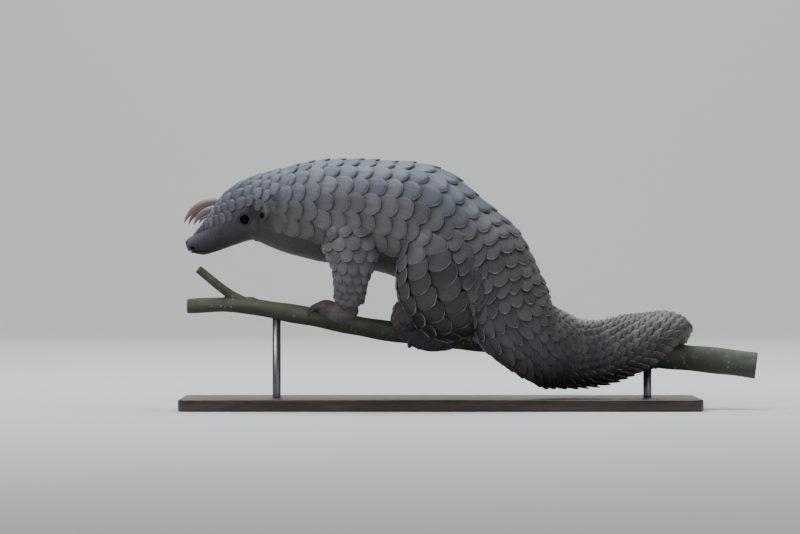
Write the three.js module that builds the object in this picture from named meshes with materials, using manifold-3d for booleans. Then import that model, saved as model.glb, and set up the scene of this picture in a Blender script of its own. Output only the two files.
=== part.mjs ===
// Sunda pangolin walking along a branch, life size, held by a plain display stand.
// Millimetres, +Z up, head towards -X, the animal's left side towards -Y.
// The origin is the centre of the underside of the stand's base.

import * as THREE from "three";
import { mergeVertices } from "three/addons/utils/BufferGeometryUtils.js";
import Module from "manifold-3d";

const wasm = await Module();
wasm.setup();

// Fit between neighbouring pieces: the gap between two lengths, how much a piece grows when it cuts another
// one and how far its ends then reach over the gap, and how deep the tail presses into the branch
const GAP = 0.3;
const CUT_GROWTH = 0.5;
const FOOT_CUT_GROWTH = 0.8;
const CUT_OVERLAP = 0.2;
const PRESS = 1.0;

// Stand: a flat base and two rods up to the branch
const BASE = { length: 620, width: 200, height: 14, corner: 12, bevel: 2 };
const ROD = { radius: 5, sides: 16, x: [-196, 250] };

// Branch, as [x, y, z, radius] along its middle, and the stub of a side shoot
const BRANCH = [
  [-304, 0, 123.5, 8.6],
  [-240, 0, 124.6, 9.4],
  [-168, 0, 113, 11.2],
  [-48, 2, 91.5, 12.2],
  [48, 17, 81.8, 13],
  [144, 30, 74.4, 14],
  [240, 22, 66, 15],
  [312, 9, 60, 15.6],
  [380, 3, 52, 15.8],
];
const BRANCH_SHAPE = { rows: 16, columns: 9 };
const SHOOT = [
  [-226, 1, 124, 6.5],
  [-252, -3, 138, 5.6],
  [-290, -8, 168, 5],
];

// Body from the nose to the root of the tail. Each row is one cross-section: the place of its middle, how far
// the back, the belly and each side reach from it, and how far the back leans to the left side, in degrees.
const BODY = [
  [-304.4, 0, 195.6, 5.4, 6, 5.4, 0],
  [-299, 0, 197.4, 8.6, 11, 8.2, 0],
  [-290, 0, 200.8, 10.4, 17.4, 8.8, 0],
  [-278, 0, 207.2, 14.6, 21, 12.4, 0],
  [-258, 0, 220.2, 24, 27, 18.8, 0],
  [-236, 0, 234.4, 33.4, 35.2, 24.8, 0],
  [-222, 0, 237.6, 39.8, 37.4, 28.4, 0],
  [-202, 0, 238.6, 45.8, 45, 33.8, 0],
  [-176, 0, 238, 52.4, 53, 41.4, 0],
  [-144, 0, 237.6, 58.6, 60.4, 50, 0],
  [-108, 0, 235.8, 61.6, 63.4, 57, 0],
  [-66, 0, 231, 64.4, 66.4, 62, 0],
  [-24, 0, 221.4, 69, 70.4, 66, 0],
  [12, -2, 200.4, 62, 70.6, 68, 0],
  [42, -8, 169.2, 65.6, 68, 66, 4],
  [72, -20, 130.8, 53.6, 49, 58, 14],
  [97, -29, 97.2, 39.6, 41, 50, 40],
  [124, -20, 76.6, 31, 30, 46, 66],
];

// Rest of the tail, which lies against the branch's left side, climbs over it and comes back along its right
// side. Each row: x along the branch, turn about the branch from its left side over its top, in degrees, and
// how far the tail's back, belly and sides reach.
const TAIL = [
  [152, -10, 25.6, 22, 41.4],
  [190, -6, 21, 17, 36.6],
  [216, 12, 19.6, 16, 34.6],
  [240, 33, 19, 18, 34],
  [259, 56, 19, 19.6, 31.4],
  [270, 80, 18.4, 19.6, 29],
  [274, 104, 16.8, 17.6, 26.6],
  [272, 134, 14.6, 14.4, 23],
  [262, 162, 13, 11.6, 20.4],
  [240, 180, 12.2, 10.4, 19],
  [210, 187, 10.6, 9.2, 16.8],
  [178, 190, 8.4, 7.6, 12.4],
  [152, 190, 5.2, 5, 7.4],
  [145, 190, 2.4, 2.4, 3.6],
];

// Lengths that the body is divided into: first and last cross-section, rows and columns of scales, the
// heights of a scale's root, sides and tip, and for scales that stand side by side the shape of the free edge
const LENGTHS = {
  head: { from: 0, to: 7, rows: 20, columns: 16, relief: [0.1, 0.8, 1.5] },
  neck: { from: 7, to: 9, rows: 4, columns: 16, relief: [0.2, 1.4, 2.6], edge: "round" },
  chest: { from: 9, to: 11, rows: 4, columns: 18, relief: [0.2, 1.8, 3.4], edge: "round" },
  back: { from: 11, to: 13, rows: 4, columns: 18, relief: [0.2, 1.8, 3.4], edge: "round" },
  rump: { from: 13, to: 15, rows: 5, columns: 18, relief: [0.2, 1.8, 3.4], edge: "round" },
  tail_1: { from: 15, to: 17, rows: 6, columns: 12, relief: [0.2, 1.4, 2.6], edge: "pointed" },
  tail_2: { from: 17, to: 19, rows: 6, columns: 12, relief: [0.2, 1.3, 2.4], edge: "pointed" },
  tail_3: { from: 19, to: 22, rows: 6, columns: 10, relief: [0.2, 1.2, 2.2], edge: "pointed" },
  tail_4: { from: 22, to: 26, rows: 6, columns: 10, relief: [0.2, 1, 1.9], edge: "pointed" },
  tail_5: { from: 26, to: 31, rows: 8, columns: 6, relief: [0.1, 0.8, 1.5], edge: "pointed" },
};

const BROWN_SCALE = 0x6d6662;
const BARE_SKIN = 0x7c7276;
const BARK = 0x8d9481;
const STAND_WOOD = 0x4a4642;

const materials = {
  scales: new THREE.MeshStandardMaterial({ color: BROWN_SCALE, roughness: 0.55, metalness: 0 }),
  skin: new THREE.MeshStandardMaterial({ color: BARE_SKIN, roughness: 0.7, metalness: 0 }),
  eye: new THREE.MeshStandardMaterial({ color: 0x0b0909, roughness: 0.1, metalness: 0 }),
  bark: new THREE.MeshStandardMaterial({ color: BARK, roughness: 0.8, metalness: 0 }),
  stand: new THREE.MeshStandardMaterial({ color: STAND_WOOD, roughness: 0.5, metalness: 0 }),
  rod: new THREE.MeshStandardMaterial({ color: 0xa9abad, roughness: 0.35, metalness: 1 }),
};

const vec = (x, y, z) => new THREE.Vector3(x, y, z);
const radians = THREE.MathUtils.degToRad;

// Solids

// Closed solid of a geometry, with its equal vertices merged.
function solid(geometry) {
  const bare = new THREE.BufferGeometry().setAttribute("position", geometry.getAttribute("position"));
  bare.setIndex(geometry.index);
  const merged = mergeVertices(bare, 1e-4);
  const vertProperties = merged.getAttribute("position").array;
  return new wasm.Manifold(new wasm.Mesh({ numProp: 3, vertProperties, triVerts: merged.index.array }));
}

const joined = (solids) => solids.reduce((whole, piece) => whole.add(piece));

const cutBy = (whole, cutters) => cutters.reduce((rest, cutter) => rest.subtract(cutter), whole);

// The largest closed surface of a solid, without loose scraps and sealed hollows.
function largest(whole) {
  const bodies = whole.decompose();
  return bodies.reduce((best, body) => (body.volume() > best.volume() ? body : best));
}

const NO_TURN = [0, 0, 0];

// Ellipsoid at a place, with its half lengths along x, y and z before it is turned, in degrees.
function ball(at, halves, turn = NO_TURN, detail = 2) {
  const geometry = new THREE.IcosahedronGeometry(1, detail);
  geometry.scale(...halves);
  const matrix = new THREE.Matrix4().makeRotationFromEuler(new THREE.Euler(...turn.map(radians)));
  geometry.applyMatrix4(matrix.setPosition(...at));
  return solid(geometry);
}

// Tubes along a curved line

// Line through cross-sections { at, up, back, belly, side }: up points to the section's back.
function spineOf(sections) {
  const steps = 24;
  const line = new THREE.CatmullRomCurve3(sections.map((row) => row.at), false, "centripetal");
  const sizes = new THREE.CatmullRomCurve3(
    sections.map((row) => vec(row.back, row.belly, row.side)), false, "catmullrom");
  const ups = new THREE.CatmullRomCurve3(sections.map((row) => row.up), false, "catmullrom");
  line.arcLengthDivisions = steps * (sections.length - 1);
  const lengths = line.getLengths();
  const length = line.getLength();
  function section(s) {
    const t = line.getUtoTmapping(THREE.MathUtils.clamp(s / length, 0, 1));
    const along = line.getTangent(t);
    const up = ups.getPoint(t).projectOnPlane(along).normalize();
    const left = vec(0, 0, 0).crossVectors(along, up);
    const size = sizes.getPoint(t);
    return { at: line.getPoint(t), along, up, left, back: size.x, belly: size.y, side: size.z };
  }
  return { section, length, reach: (index) => lengths[index * steps] };
}

// Point of a tube's surface at a distance s along it and an angle from its back, raised by a height.
function surfacePoint(spine, s, angle, height) {
  const { at, up, left, back, belly, side } = spine.section(s);
  const tall = Math.cos(angle) > 0 ? back : belly;
  return at
    .addScaledVector(up, (tall + height) * Math.cos(angle))
    .addScaledVector(left, (side + height) * Math.sin(angle));
}

// Points and faces of a tube from one distance along a spine to another. Each end stands half the gap off its
// neighbour. Where the tube cuts another piece, its ends stand a little over it instead, and all of it is
// grown by a distance, outward and along the spine, so that every face moves away from the flesh.
function shell(spine, { from, to, grow = 0 }) {
  const points = [];
  const faces = [];
  return {
    place(s, angle, height) {
      return points.push(surfacePoint(spine, s + grow, angle, height + grow)) - 1;
    },
    placeEnd(s, angle, height) {
      const inward = s === from ? 1 : -1;
      const shift = grow > 0 ? -CUT_OVERLAP : GAP / 2;
      const at = surfacePoint(spine, s, angle, height + grow);
      return points.push(at.addScaledVector(spine.section(s).along, inward * shift)) - 1;
    },
    face(...corners) {
      for (let k = 1; k < corners.length - 1; k++) {
        const triangle = [corners[0], corners[k], corners[k + 1]];
        if (new Set(triangle).size === 3) faces.push(triangle);
      }
    },
    // Faces between the lower points of one chain and the upper points of the next, each a corner { x, lower,
    // upper } in order of x, with the step to the nearer corner taken first
    ladder(root, edge) {
      let i = 0;
      let j = 0;
      while (i < root.length - 1 || j < edge.length - 1) {
        const rootStep = i < root.length - 1 ? Math.abs(root[i + 1].x - edge[j].x) : Infinity;
        const edgeStep = j < edge.length - 1 ? Math.abs(edge[j + 1].x - root[i].x) : Infinity;
        if (rootStep < edgeStep || (rootStep === edgeStep && edge[j].x >= 0)) {
          this.face(root[i].lower, root[i + 1].lower, edge[j].upper);
          i += 1;
        } else {
          this.face(root[i].lower, edge[j + 1].upper, edge[j].upper);
          j += 1;
        }
      }
    },
    close() {
      const geometry = new THREE.BufferGeometry().setFromPoints(points);
      geometry.setIndex(faces.flat());
      return solid(geometry);
    },
  };
}

// Tube with staggered scales: each row is turned half a step from the last, so that every four neighbouring
// points frame one scale. A scale rises from its root to its tip, and a small step leads down from its free
// edges to the next scales. cover(s, angle) says how much of the scales' height stands there, and 0 leaves
// the skin bare.
function diamondTube(spine, options) {
  const { from, to, rows, columns, cover, relief } = options;
  const tube = shell(spine, options);
  const step = (2 * Math.PI) / columns;
  const rings = [];
  for (let row = 0; row <= rows; row++) {
    const ring = [];
    const s = row === rows ? to : from + (row * (to - from)) / rows;
    for (let i = 0; i < columns; i++) {
      const angle = step * (i + (row % 2) / 2);
      const heights = relief.map((height) => height * cover(s, angle));
      if (row === 0 || row === rows) {
        const end = tube.placeEnd(s, angle, heights[1]);
        ring.push({ low: end, mid: end, top: end });
      } else if (heights[1] === 0) {
        const single = tube.place(s, angle, 0);
        ring.push({ low: single, mid: single, top: single });
      } else {
        const [low, mid, top] = heights.map((height) => tube.place(s, angle, height));
        ring.push({ low, mid, top });
      }
    }
    rings.push(ring);
  }

  for (let row = 0; row <= rows; row++) {
    for (let i = 0; i < columns; i++) {
      const left = rings[row][i];
      const right = rings[row][(i + 1) % columns];
      const k = (i + (row % 2)) % columns;
      const root = rings[row - 1]?.[k].low;
      const tip = rings[row + 1]?.[k];
      tube.face(...[root, right.mid, tip?.top, left.mid].filter((id) => id !== undefined));
      if (!tip) continue;
      tube.face(tip.top, right.mid, right.low, tip.mid);
      tube.face(left.mid, tip.top, tip.mid, left.low);
    }
  }
  tube.face(...rings[0].map((point) => point.low).reverse());
  tube.face(...rings[rows].map((point) => point.low));
  return tube.close();
}

// Free edges of a scale in a ring, from one side to the other: steps of angle off its middle, rows past the
// middle of the ring, and how far the edge has risen from the sides' height to the tip's
const EDGE_DEPTH = 0.22;
const FREE_EDGES = {
  round: [
    { x: -0.5, y: -EDGE_DEPTH, rise: 0 },
    { x: -0.3, y: 0.08, rise: 0.6 },
    { x: 0, y: EDGE_DEPTH, rise: 1 },
    { x: 0.3, y: 0.08, rise: 0.6 },
    { x: 0.5, y: -EDGE_DEPTH, rise: 0 },
  ],
  blunt: [
    { x: -0.5, y: -EDGE_DEPTH, rise: 0 },
    { x: -0.17, y: EDGE_DEPTH, rise: 1 },
    { x: 0.17, y: EDGE_DEPTH, rise: 1 },
    { x: 0.5, y: -EDGE_DEPTH, rise: 0 },
  ],
  pointed: [
    { x: -0.5, y: -EDGE_DEPTH, rise: 0 },
    { x: 0, y: EDGE_DEPTH, rise: 1 },
    { x: 0.5, y: -EDGE_DEPTH, rise: 0 },
  ],
};

// Tube with rings of scales that stand side by side, each scale right behind the one before it. The ends of
// the tube lie halfway between two free edges, so that a ring of scales goes on from one length to the next.
function ringedTube(spine, options) {
  const { from, to, rows, columns, cover, relief } = options;
  const [low, mid, top] = relief;
  const tube = shell(spine, options);
  const corners = FREE_EDGES[options.edge];
  const step = (2 * Math.PI) / columns;
  const gap = (to - from) / rows;

  // One chain of points for each column, in which neighbours share the point between them
  function chains(make, isBare, inner) {
    const between = [...Array(columns).keys()].map((column) => make(column, corners[0]));
    return between.map((start, column) => {
      const end = { ...between[(column + 1) % columns], x: 0.5 };
      return [start, ...(isBare(column) ? [] : inner.map((corner) => make(column, corner))), end];
    });
  }

  function freeEdges(ring) {
    const distance = (y) => from + (ring + 0.5 + y) * gap;
    const make = (column, { x, y, rise }) => {
      const angle = step * (column + x);
      const share = cover(distance(y), angle);
      const upper = tube.place(distance(y), angle, share * THREE.MathUtils.lerp(mid, top, rise));
      if (share === 0) return { x, upper, lower: upper };
      const lower = tube.place(distance(y), angle, share * THREE.MathUtils.lerp(low, mid, rise));
      return { x, upper, lower };
    };
    const isBare = (column) => cover(distance(EDGE_DEPTH), step * column) === 0;
    return chains(make, isBare, corners.slice(1, -1));
  }

  function endEdges(s) {
    const make = (column, { x }) => {
      const angle = step * (column + x);
      const end = tube.placeEnd(s, angle, mid * cover(s, angle));
      return { x, upper: end, lower: end };
    };
    return chains(make, (column) => cover(s, step * column) === 0, [{ x: 0 }]);
  }

  const edges = [endEdges(from)];
  for (let ring = 0; ring < rows; ring++) edges.push(freeEdges(ring));
  edges.push(endEdges(to));
  for (let k = 1; k < edges.length; k++) {
    for (let column = 0; column < columns; column++) {
      const edge = edges[k][column];
      tube.ladder(edges[k - 1][column], edge);
      for (let j = 1; j < edge.length; j++) {
        tube.face(edge[j - 1].upper, edge[j].upper, edge[j].lower, edge[j - 1].lower);
      }
    }
  }
  const rim = (ring) => ring.flatMap((column) => column.slice(0, -1).map((corner) => corner.lower));
  tube.face(...rim(edges[0]).reverse());
  tube.face(...rim(edges[edges.length - 1]));
  return tube.close();
}

// Tube with scales, side by side where the options name their free edge, and staggered otherwise.
function scaledTube(spine, options) {
  return options.edge ? ringedTube(spine, options) : diamondTube(spine, options);
}

const bare = () => 0;
const SMOOTH = [0, 0, 0];

// Smooth round tube through rows of [x, y, z, radius].
function smoothTube(list, { rows, columns, grow = 0, up = vec(0, 0, 1) }) {
  const sections = list.map(([x, y, z, r]) => ({ at: vec(x, y, z), up, back: r, belly: r, side: r }));
  const spine = spineOf(sections);
  return scaledTube(spine, { from: 0, to: spine.length, rows, columns, cover: bare, relief: SMOOTH, grow });
}

// Branch

const branchRuler = new THREE.CubicInterpolant(
  BRANCH.map((row) => row[0]), BRANCH.flatMap((row) => row.slice(1)), 3);

// Middle and radius of the branch at x.
function branchAt(x) {
  const [y, z, radius] = branchRuler.evaluate(x);
  return { y, z, radius };
}

function branch(grow = 0) {
  const { rows, columns } = BRANCH_SHAPE;
  const stem = smoothTube(BRANCH, { rows, columns, grow });
  return joined([stem, smoothTube(SHOOT, { rows: 4, columns: 8, grow })]);
}

// Body

const bodySections = BODY.map(([x, y, z, back, belly, side, lean]) => ({
  at: vec(x, y, z),
  up: vec(0, -Math.sin(radians(lean)), Math.cos(radians(lean))),
  back, belly, side,
}));

const tailSections = TAIL.map(([x, turn, back, belly, side]) => {
  const support = branchAt(x);
  const up = vec(0, -Math.cos(radians(turn)), Math.sin(radians(turn)));
  const at = vec(x, support.y, support.z).addScaledVector(up, support.radius + belly - PRESS);
  return { at, up, back, belly, side };
});

const bodySpine = spineOf([...bodySections, ...tailSections]);

// Scales reach down from the back to these angles, in degrees, and stand half as high in the last few
const COVERED_TO = { neck: 112, chest: 128, back: 128, rump: 140, tail: 180 };
const EDGE_FADE = 12;

// The crown's scales start this far from the nose tip, and reach down to these angles there and at the neck
const CROWN = { start: 26, front: 62, rear: 96 };

// Bare rounds of the body under the roots of the legs: { x, z, radius }, seen from the side
const LEG_ROOTS = [
  { side: -1, x: -105, z: 200, radius: 24 },
  { side: 1, x: -118, z: 218, radius: 20 },
  { side: -1, x: 6, z: 148, radius: 46 },
  { side: 1, x: 16, z: 148, radius: 46 },
];

// Degrees that an angle in radians lies away from the back, on either side.
function fromBack(angle) {
  const degrees = THREE.MathUtils.euclideanModulo(THREE.MathUtils.radToDeg(angle), 360);
  return Math.min(degrees, 360 - degrees);
}

// How much of the scales' height stands at a distance along the body and an angle from its back.
function coverOf(name) {
  const crownEnd = bodySpine.reach(LENGTHS.head.to);
  return (s, angle) => {
    const at = surfacePoint(bodySpine, s, angle, 0);
    const underLeg = LEG_ROOTS.some(({ side, x, z, radius }) =>
      at.y * side > 0 && Math.hypot(at.x - x, at.z - z) < radius);
    if (underLeg || (name === "head" && s < CROWN.start)) return 0;
    const limit = name === "head"
      ? THREE.MathUtils.mapLinear(s, CROWN.start, crownEnd, CROWN.front, CROWN.rear)
      : COVERED_TO[name.split("_")[0]];
    const degrees = fromBack(angle);
    if (degrees > limit + EDGE_FADE) return 0;
    return degrees > limit ? 0.5 : 1;
  };
}

function bodyLength(name, grow = 0) {
  const { from, to, rows, columns, relief, edge } = LENGTHS[name];
  return scaledTube(bodySpine, {
    from: bodySpine.reach(from),
    to: bodySpine.reach(to),
    cover: coverOf(name),
    rows, columns, relief, edge, grow,
  });
}

// Claws: a curved horn from its root, first along one direction and then bent towards another

const CLAW_TURN = 88;
const CLAW_TAPER = 2;
const CLAW_TIP = 0.5;

function claw({ at, aim, bend, length, radius, rows = 3 }) {
  const forward = vec(...aim).normalize();
  const sideways = vec(...bend).projectOnPlane(forward).normalize();
  const turn = radians(CLAW_TURN);
  const list = [0, 0.3, 0.65, 1].map((part) => {
    const reach = (length / turn) * Math.sin(turn * part);
    const drop = (length / turn) * (1 - Math.cos(turn * part));
    const place = vec(...at).addScaledVector(forward, reach).addScaledVector(sideways, drop);
    return [place.x, place.y, place.z, THREE.MathUtils.lerp(radius, CLAW_TIP, part ** CLAW_TAPER)];
  });
  const up = vec(0, 0, 0).crossVectors(forward, sideways);
  return smoothTube(list, { rows, columns: 5, up });
}

// Legs: tubes whose back is the outer side, as [x, y, z, outer, inner, side]

function limb(list, outward, { rows, columns, relief, edge, bareFrom = 120, grow = 0 }) {
  const sections = list.map(([x, y, z, back, belly, side]) =>
    ({ at: vec(x, y, z), up: vec(...outward), back, belly, side }));
  const spine = spineOf(sections);
  const cover = (s, angle) => (fromBack(angle) > bareFrom ? 0 : 1);
  return scaledTube(spine, { from: 0, to: spine.length, rows, columns, cover, relief, edge, grow });
}

const FORELEG_LEFT = [
  [-104, -30, 224, 20, 20, 34],
  [-105, -43, 196, 21, 20, 33],
  [-104.6, -46, 172, 18, 17, 24],
  [-106.4, -42, 156, 15.4, 15, 18.4],
  [-107.6, -34, 142, 13.6, 13.6, 16.2],
  [-109, -25, 128, 12.4, 12.4, 15],
];

const FORELEG_RIGHT = [
  [-112, 30, 222, 22, 22, 30],
  [-132, 48, 214, 20, 20, 26],
  [-158, 60, 210, 17, 17, 20],
  [-184, 64, 213, 15, 15, 17],
  [-214, 60, 224, 13, 13, 14.6],
  [-243, 50, 237, 11, 11, 12.4],
];

const THIGH = [
  [-22, 28, 216, 22, 20, 22],
  [-16, 38, 200, 33, 28, 35],
  [-6, 43, 177, 38, 30, 48],
  [4, 46, 151, 37, 28, 55],
  [14, 47, 125, 32, 26, 50],
  [23, 45, 102, 22, 22, 36],
  [28, 41, 89, 10, 10, 18],
];

const SHANK = [
  [-18, 50, 128, 18, 16, 20],
  [-38, 42, 114, 17, 14, 18],
  [-44, 32, 102, 14, 12, 14],
];

const LEG_RELIEF = [0.1, 0.9, 1.7];

function foreleg(side, grow = 0) {
  const list = side < 0 ? FORELEG_LEFT : FORELEG_RIGHT;
  const outward = side < 0 ? [0, -1, 0.2] : [0, 1, 0.2];
  return limb(list, outward, { rows: 8, columns: 10, relief: LEG_RELIEF, edge: "pointed", grow });
}

const mirrored = (list, side, shift) => list.map(([x, y, z, ...sizes]) => [x + shift, side * y, z, ...sizes]);

function hindleg(side, grow = 0) {
  const shift = side < 0 ? 0 : 10;
  const thigh = limb(mirrored(THIGH, side, shift), [0, side, 0.25],
    { rows: 8, columns: 11, relief: [0.2, 1.5, 2.8], edge: "blunt", bareFrom: 90, grow });
  const shank = limb(mirrored(SHANK, side, shift), [0, side, 0.25],
    { rows: 4, columns: 8, relief: LEG_RELIEF, grow });
  return joined([thigh, shank]);
}

// Feet

function forefootLeft() {
  const palm = ball([-117, -19, 117], [20, 13, 13.4], [0, -8, 0]);
  const toes = ball([-136, -17, 121.5], [15, 12, 9.6], [0, 10, 0], 1);
  const claws = [[-27, 14], [-21, 20], [-14, 23], [-8, 16]].map(([y, length]) =>
    claw({ at: [-144, y, 124], aim: [-1, 0, 0], bend: [0, 0, -1], length, radius: 3.8 }));
  return joined([palm, toes, ...claws]);
}

function forefootRight() {
  const palm = ball([-252, 48, 237.5], [18, 13, 9], [0, 26, 0], 1);
  const claws = [[40, 238, 41], [47, 246, 56], [54, 242, 50], [59, 237, 34]].map(([y, z, length]) =>
    claw({ at: [-264, y, z], aim: [-1, 0, 0.32], bend: [0, 0, -1], length, radius: 6.2, rows: 4 }));
  return joined([palm, ...claws]);
}

function hindfoot(side) {
  const shift = side < 0 ? 0 : 10;
  const middle = branchAt(-18 + shift).y;
  const place = (x, away, z) => [x + shift, middle + side * away, z];
  const heel = ball(place(-44, 24, 104), [15, 14.3, 15], NO_TURN, 1);
  const sole = ball(place(-22, 21, 92), [37, 13, 20], [0, 22, 0], 1);
  const claws = [[-33, 88], [-22, 86], [-10, 84], [2, 84], [12, 86]].map(([x, z]) =>
    claw({ at: place(x, 27, z), aim: [-0.3, 0, -1], bend: [0, -side, 0], length: 22, radius: 4.8, rows: 2 }));
  return joined([heel, sole, ...claws]);
}

// Head details

const EYE = { at: [-233.6, 20.6, 227.2], radius: 5.2, socket: 5.9, lids: 7.2, opening: [5.8, 6, 5.4] };
const NOSTRIL = { at: [-296.6, 6.6, 192.6], halves: [3.6, 2.6, 1.9] };
const MOUTH = { at: [-289, 0, 189.6], halves: [14, 14, 0.7], core: [11, 5, 7] };
const EAR_PIT = { at: [-211.8, 30, 231.6], halves: [3.4, 4.6, 4.2] };
const EAR_RIDGE = [
  [-216, 28, 248, 1.8],
  [-210, 31, 245, 2.8],
  [-206.2, 32.8, 237.6, 3.2],
  [-207.6, 32.8, 229.6, 2.8],
  [-212.6, 30.6, 224.8, 1.8],
];

const sided = ([x, y, z], side) => [x, side * y, z];

const atEye = (side, radius, detail) => ball(sided(EYE.at, side), [radius, radius, radius], NO_TURN, detail);
const eyeball = (side) => atEye(side, EYE.radius, 2);

// Lids: a thin shell about the eyeball, open in front.
function lids(side) {
  const [x, y, z] = EYE.at;
  const opening = ball([x, side * (y + EYE.radius), z], EYE.opening, [0, 12, 0], 1);
  return atEye(side, EYE.lids, 2).subtract(opening);
}

// Line of the mouth: a thin slot round the underside of the snout, as deep as the lips are thick.
const mouth = () =>
  ball(MOUTH.at, MOUTH.halves, NO_TURN, 1).subtract(ball(MOUTH.at, MOUTH.core, NO_TURN, 1));

function head() {
  const sides = [-1, 1];
  const whole = joined([bodyLength("head"), ...sides.map(lids)]);
  const pits = sides.flatMap((side) => [
    ball(sided(NOSTRIL.at, side), NOSTRIL.halves, [0, 30, 0], 1),
    ball(sided(EAR_PIT.at, side), EAR_PIT.halves, NO_TURN, 1),
    atEye(side, EYE.socket, 1),
  ]);
  return largest(cutBy(whole, [...pits, mouth()]));
}

function ear(side, cutters) {
  const ridge = EAR_RIDGE.map(([x, y, z, r]) => [x, side * y, z, r]);
  return cutBy(smoothTube(ridge, { rows: 7, columns: 6, up: vec(0, side, 0) }), cutters);
}

// Stand

function base() {
  const { length, width, height, corner, bevel } = BASE;
  const [x, y] = [length / 2 - corner, width / 2 - corner];
  const outline = new THREE.Shape();
  outline.absarc(x, y, corner - bevel, 0, Math.PI / 2);
  outline.absarc(-x, y, corner - bevel, Math.PI / 2, Math.PI);
  outline.absarc(-x, -y, corner - bevel, Math.PI, 1.5 * Math.PI);
  outline.absarc(x, -y, corner - bevel, 1.5 * Math.PI, 2 * Math.PI);
  const geometry = new THREE.ExtrudeGeometry(outline, {
    depth: height - 2 * bevel,
    bevelThickness: bevel,
    bevelSize: bevel,
    bevelSegments: 1,
    curveSegments: 2,
  });
  return solid(geometry.translate(0, 0, bevel));
}

function rod(x) {
  const { y, z } = branchAt(x);
  const foot = BASE.height + GAP;
  const geometry = new THREE.CylinderGeometry(ROD.radius, ROD.radius, z - foot, ROD.sides);
  geometry.rotateX(Math.PI / 2).translate(x, y, (z + foot) / 2);
  return solid(geometry).subtract(branch(GAP));
}

// Assembly

const pangolin = new THREE.Group();

function add(name, material, whole) {
  const { vertProperties, triVerts } = largest(whole).getMesh();
  const geometry = new THREE.BufferGeometry();
  geometry.setAttribute("position", new THREE.BufferAttribute(vertProperties, 3)).setIndex(
    new THREE.BufferAttribute(triVerts, 1));
  const mesh = new THREE.Mesh(geometry, materials[material]);
  mesh.name = name;
  pangolin.add(mesh);
}

const perch = branch();
const perchCutter = branch(CUT_GROWTH);
const bodyCutters = Object.keys(LENGTHS).slice(0, 6).map((name) => bodyLength(name, CUT_GROWTH));

add("head", "skin", head());
for (const name of Object.keys(LENGTHS).slice(1)) {
  add(name, "scales", cutBy(bodyLength(name), [perchCutter]));
}
for (const [side, word] of [[-1, "left"], [1, "right"]]) {
  add(`ear_${word}`, "skin", ear(side, bodyCutters.slice(0, 2)));
  add(`eye_${word}`, "eye", eyeball(side));
  const legCutters = [...bodyCutters, perchCutter];
  add(`foreleg_${word}`, "scales", cutBy(foreleg(side), legCutters));
  const forefoot = side < 0 ? forefootLeft() : forefootRight();
  add(`forefoot_${word}`, "skin", cutBy(forefoot, [...legCutters, foreleg(side, FOOT_CUT_GROWTH)]));
  add(`hindleg_${word}`, "scales", cutBy(hindleg(side), legCutters));
  add(`hindfoot_${word}`, "skin", cutBy(hindfoot(side), [...legCutters, hindleg(side, FOOT_CUT_GROWTH)]));
}
add("perch_branch", "bark", perch);
add("stand_base", "stand", base());
add("stand_rod_front", "rod", rod(ROD.x[0]));
add("stand_rod_rear", "rod", rod(ROD.x[1]));

export default pangolin;
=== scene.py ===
"""Sunda pangolin on a branch: skin, scales, claws, eyes, branch, stand and studio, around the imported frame.

Shapes are worked out in millimetres in the frame's own axes and made in metres: +Z up, head towards -X, the
animal's left side towards -Y, the origin under the middle of the stand's base.
"""

import math

import bmesh
import bpy
import numpy as np
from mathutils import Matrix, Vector


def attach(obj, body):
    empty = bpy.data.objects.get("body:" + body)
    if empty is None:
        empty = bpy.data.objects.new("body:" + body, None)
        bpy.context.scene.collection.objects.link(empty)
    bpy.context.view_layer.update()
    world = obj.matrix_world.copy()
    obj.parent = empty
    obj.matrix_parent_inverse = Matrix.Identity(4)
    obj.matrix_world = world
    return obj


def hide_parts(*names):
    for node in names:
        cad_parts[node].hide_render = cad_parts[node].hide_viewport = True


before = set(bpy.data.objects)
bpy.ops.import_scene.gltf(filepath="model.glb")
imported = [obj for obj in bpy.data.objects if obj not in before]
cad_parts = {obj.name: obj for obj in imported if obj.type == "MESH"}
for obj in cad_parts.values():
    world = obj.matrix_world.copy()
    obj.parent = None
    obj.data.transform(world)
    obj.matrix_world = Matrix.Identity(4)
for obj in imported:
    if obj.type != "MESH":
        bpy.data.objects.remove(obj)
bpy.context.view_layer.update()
rng = np.random.default_rng(11)

MM = 0.001


# Driving dimensions, in millimetres, as the solids have them

# Branch: x, y, z, radius along its middle, and the stub of a side shoot
BRANCH = [
    (-304, 0, 123.5, 8.6),
    (-240, 0, 124.6, 9.4),
    (-168, 0, 113, 11.2),
    (-48, 2, 91.5, 12.2),
    (48, 17, 81.8, 13),
    (144, 30, 74.4, 14),
    (240, 22, 66, 15),
    (312, 9, 60, 15.6),
    (380, 3, 52, 15.8),
]
SHOOT = [(-226, 1, 124, 6.5), (-252, -3, 138, 5.6), (-290, -8, 168, 5)]

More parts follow.
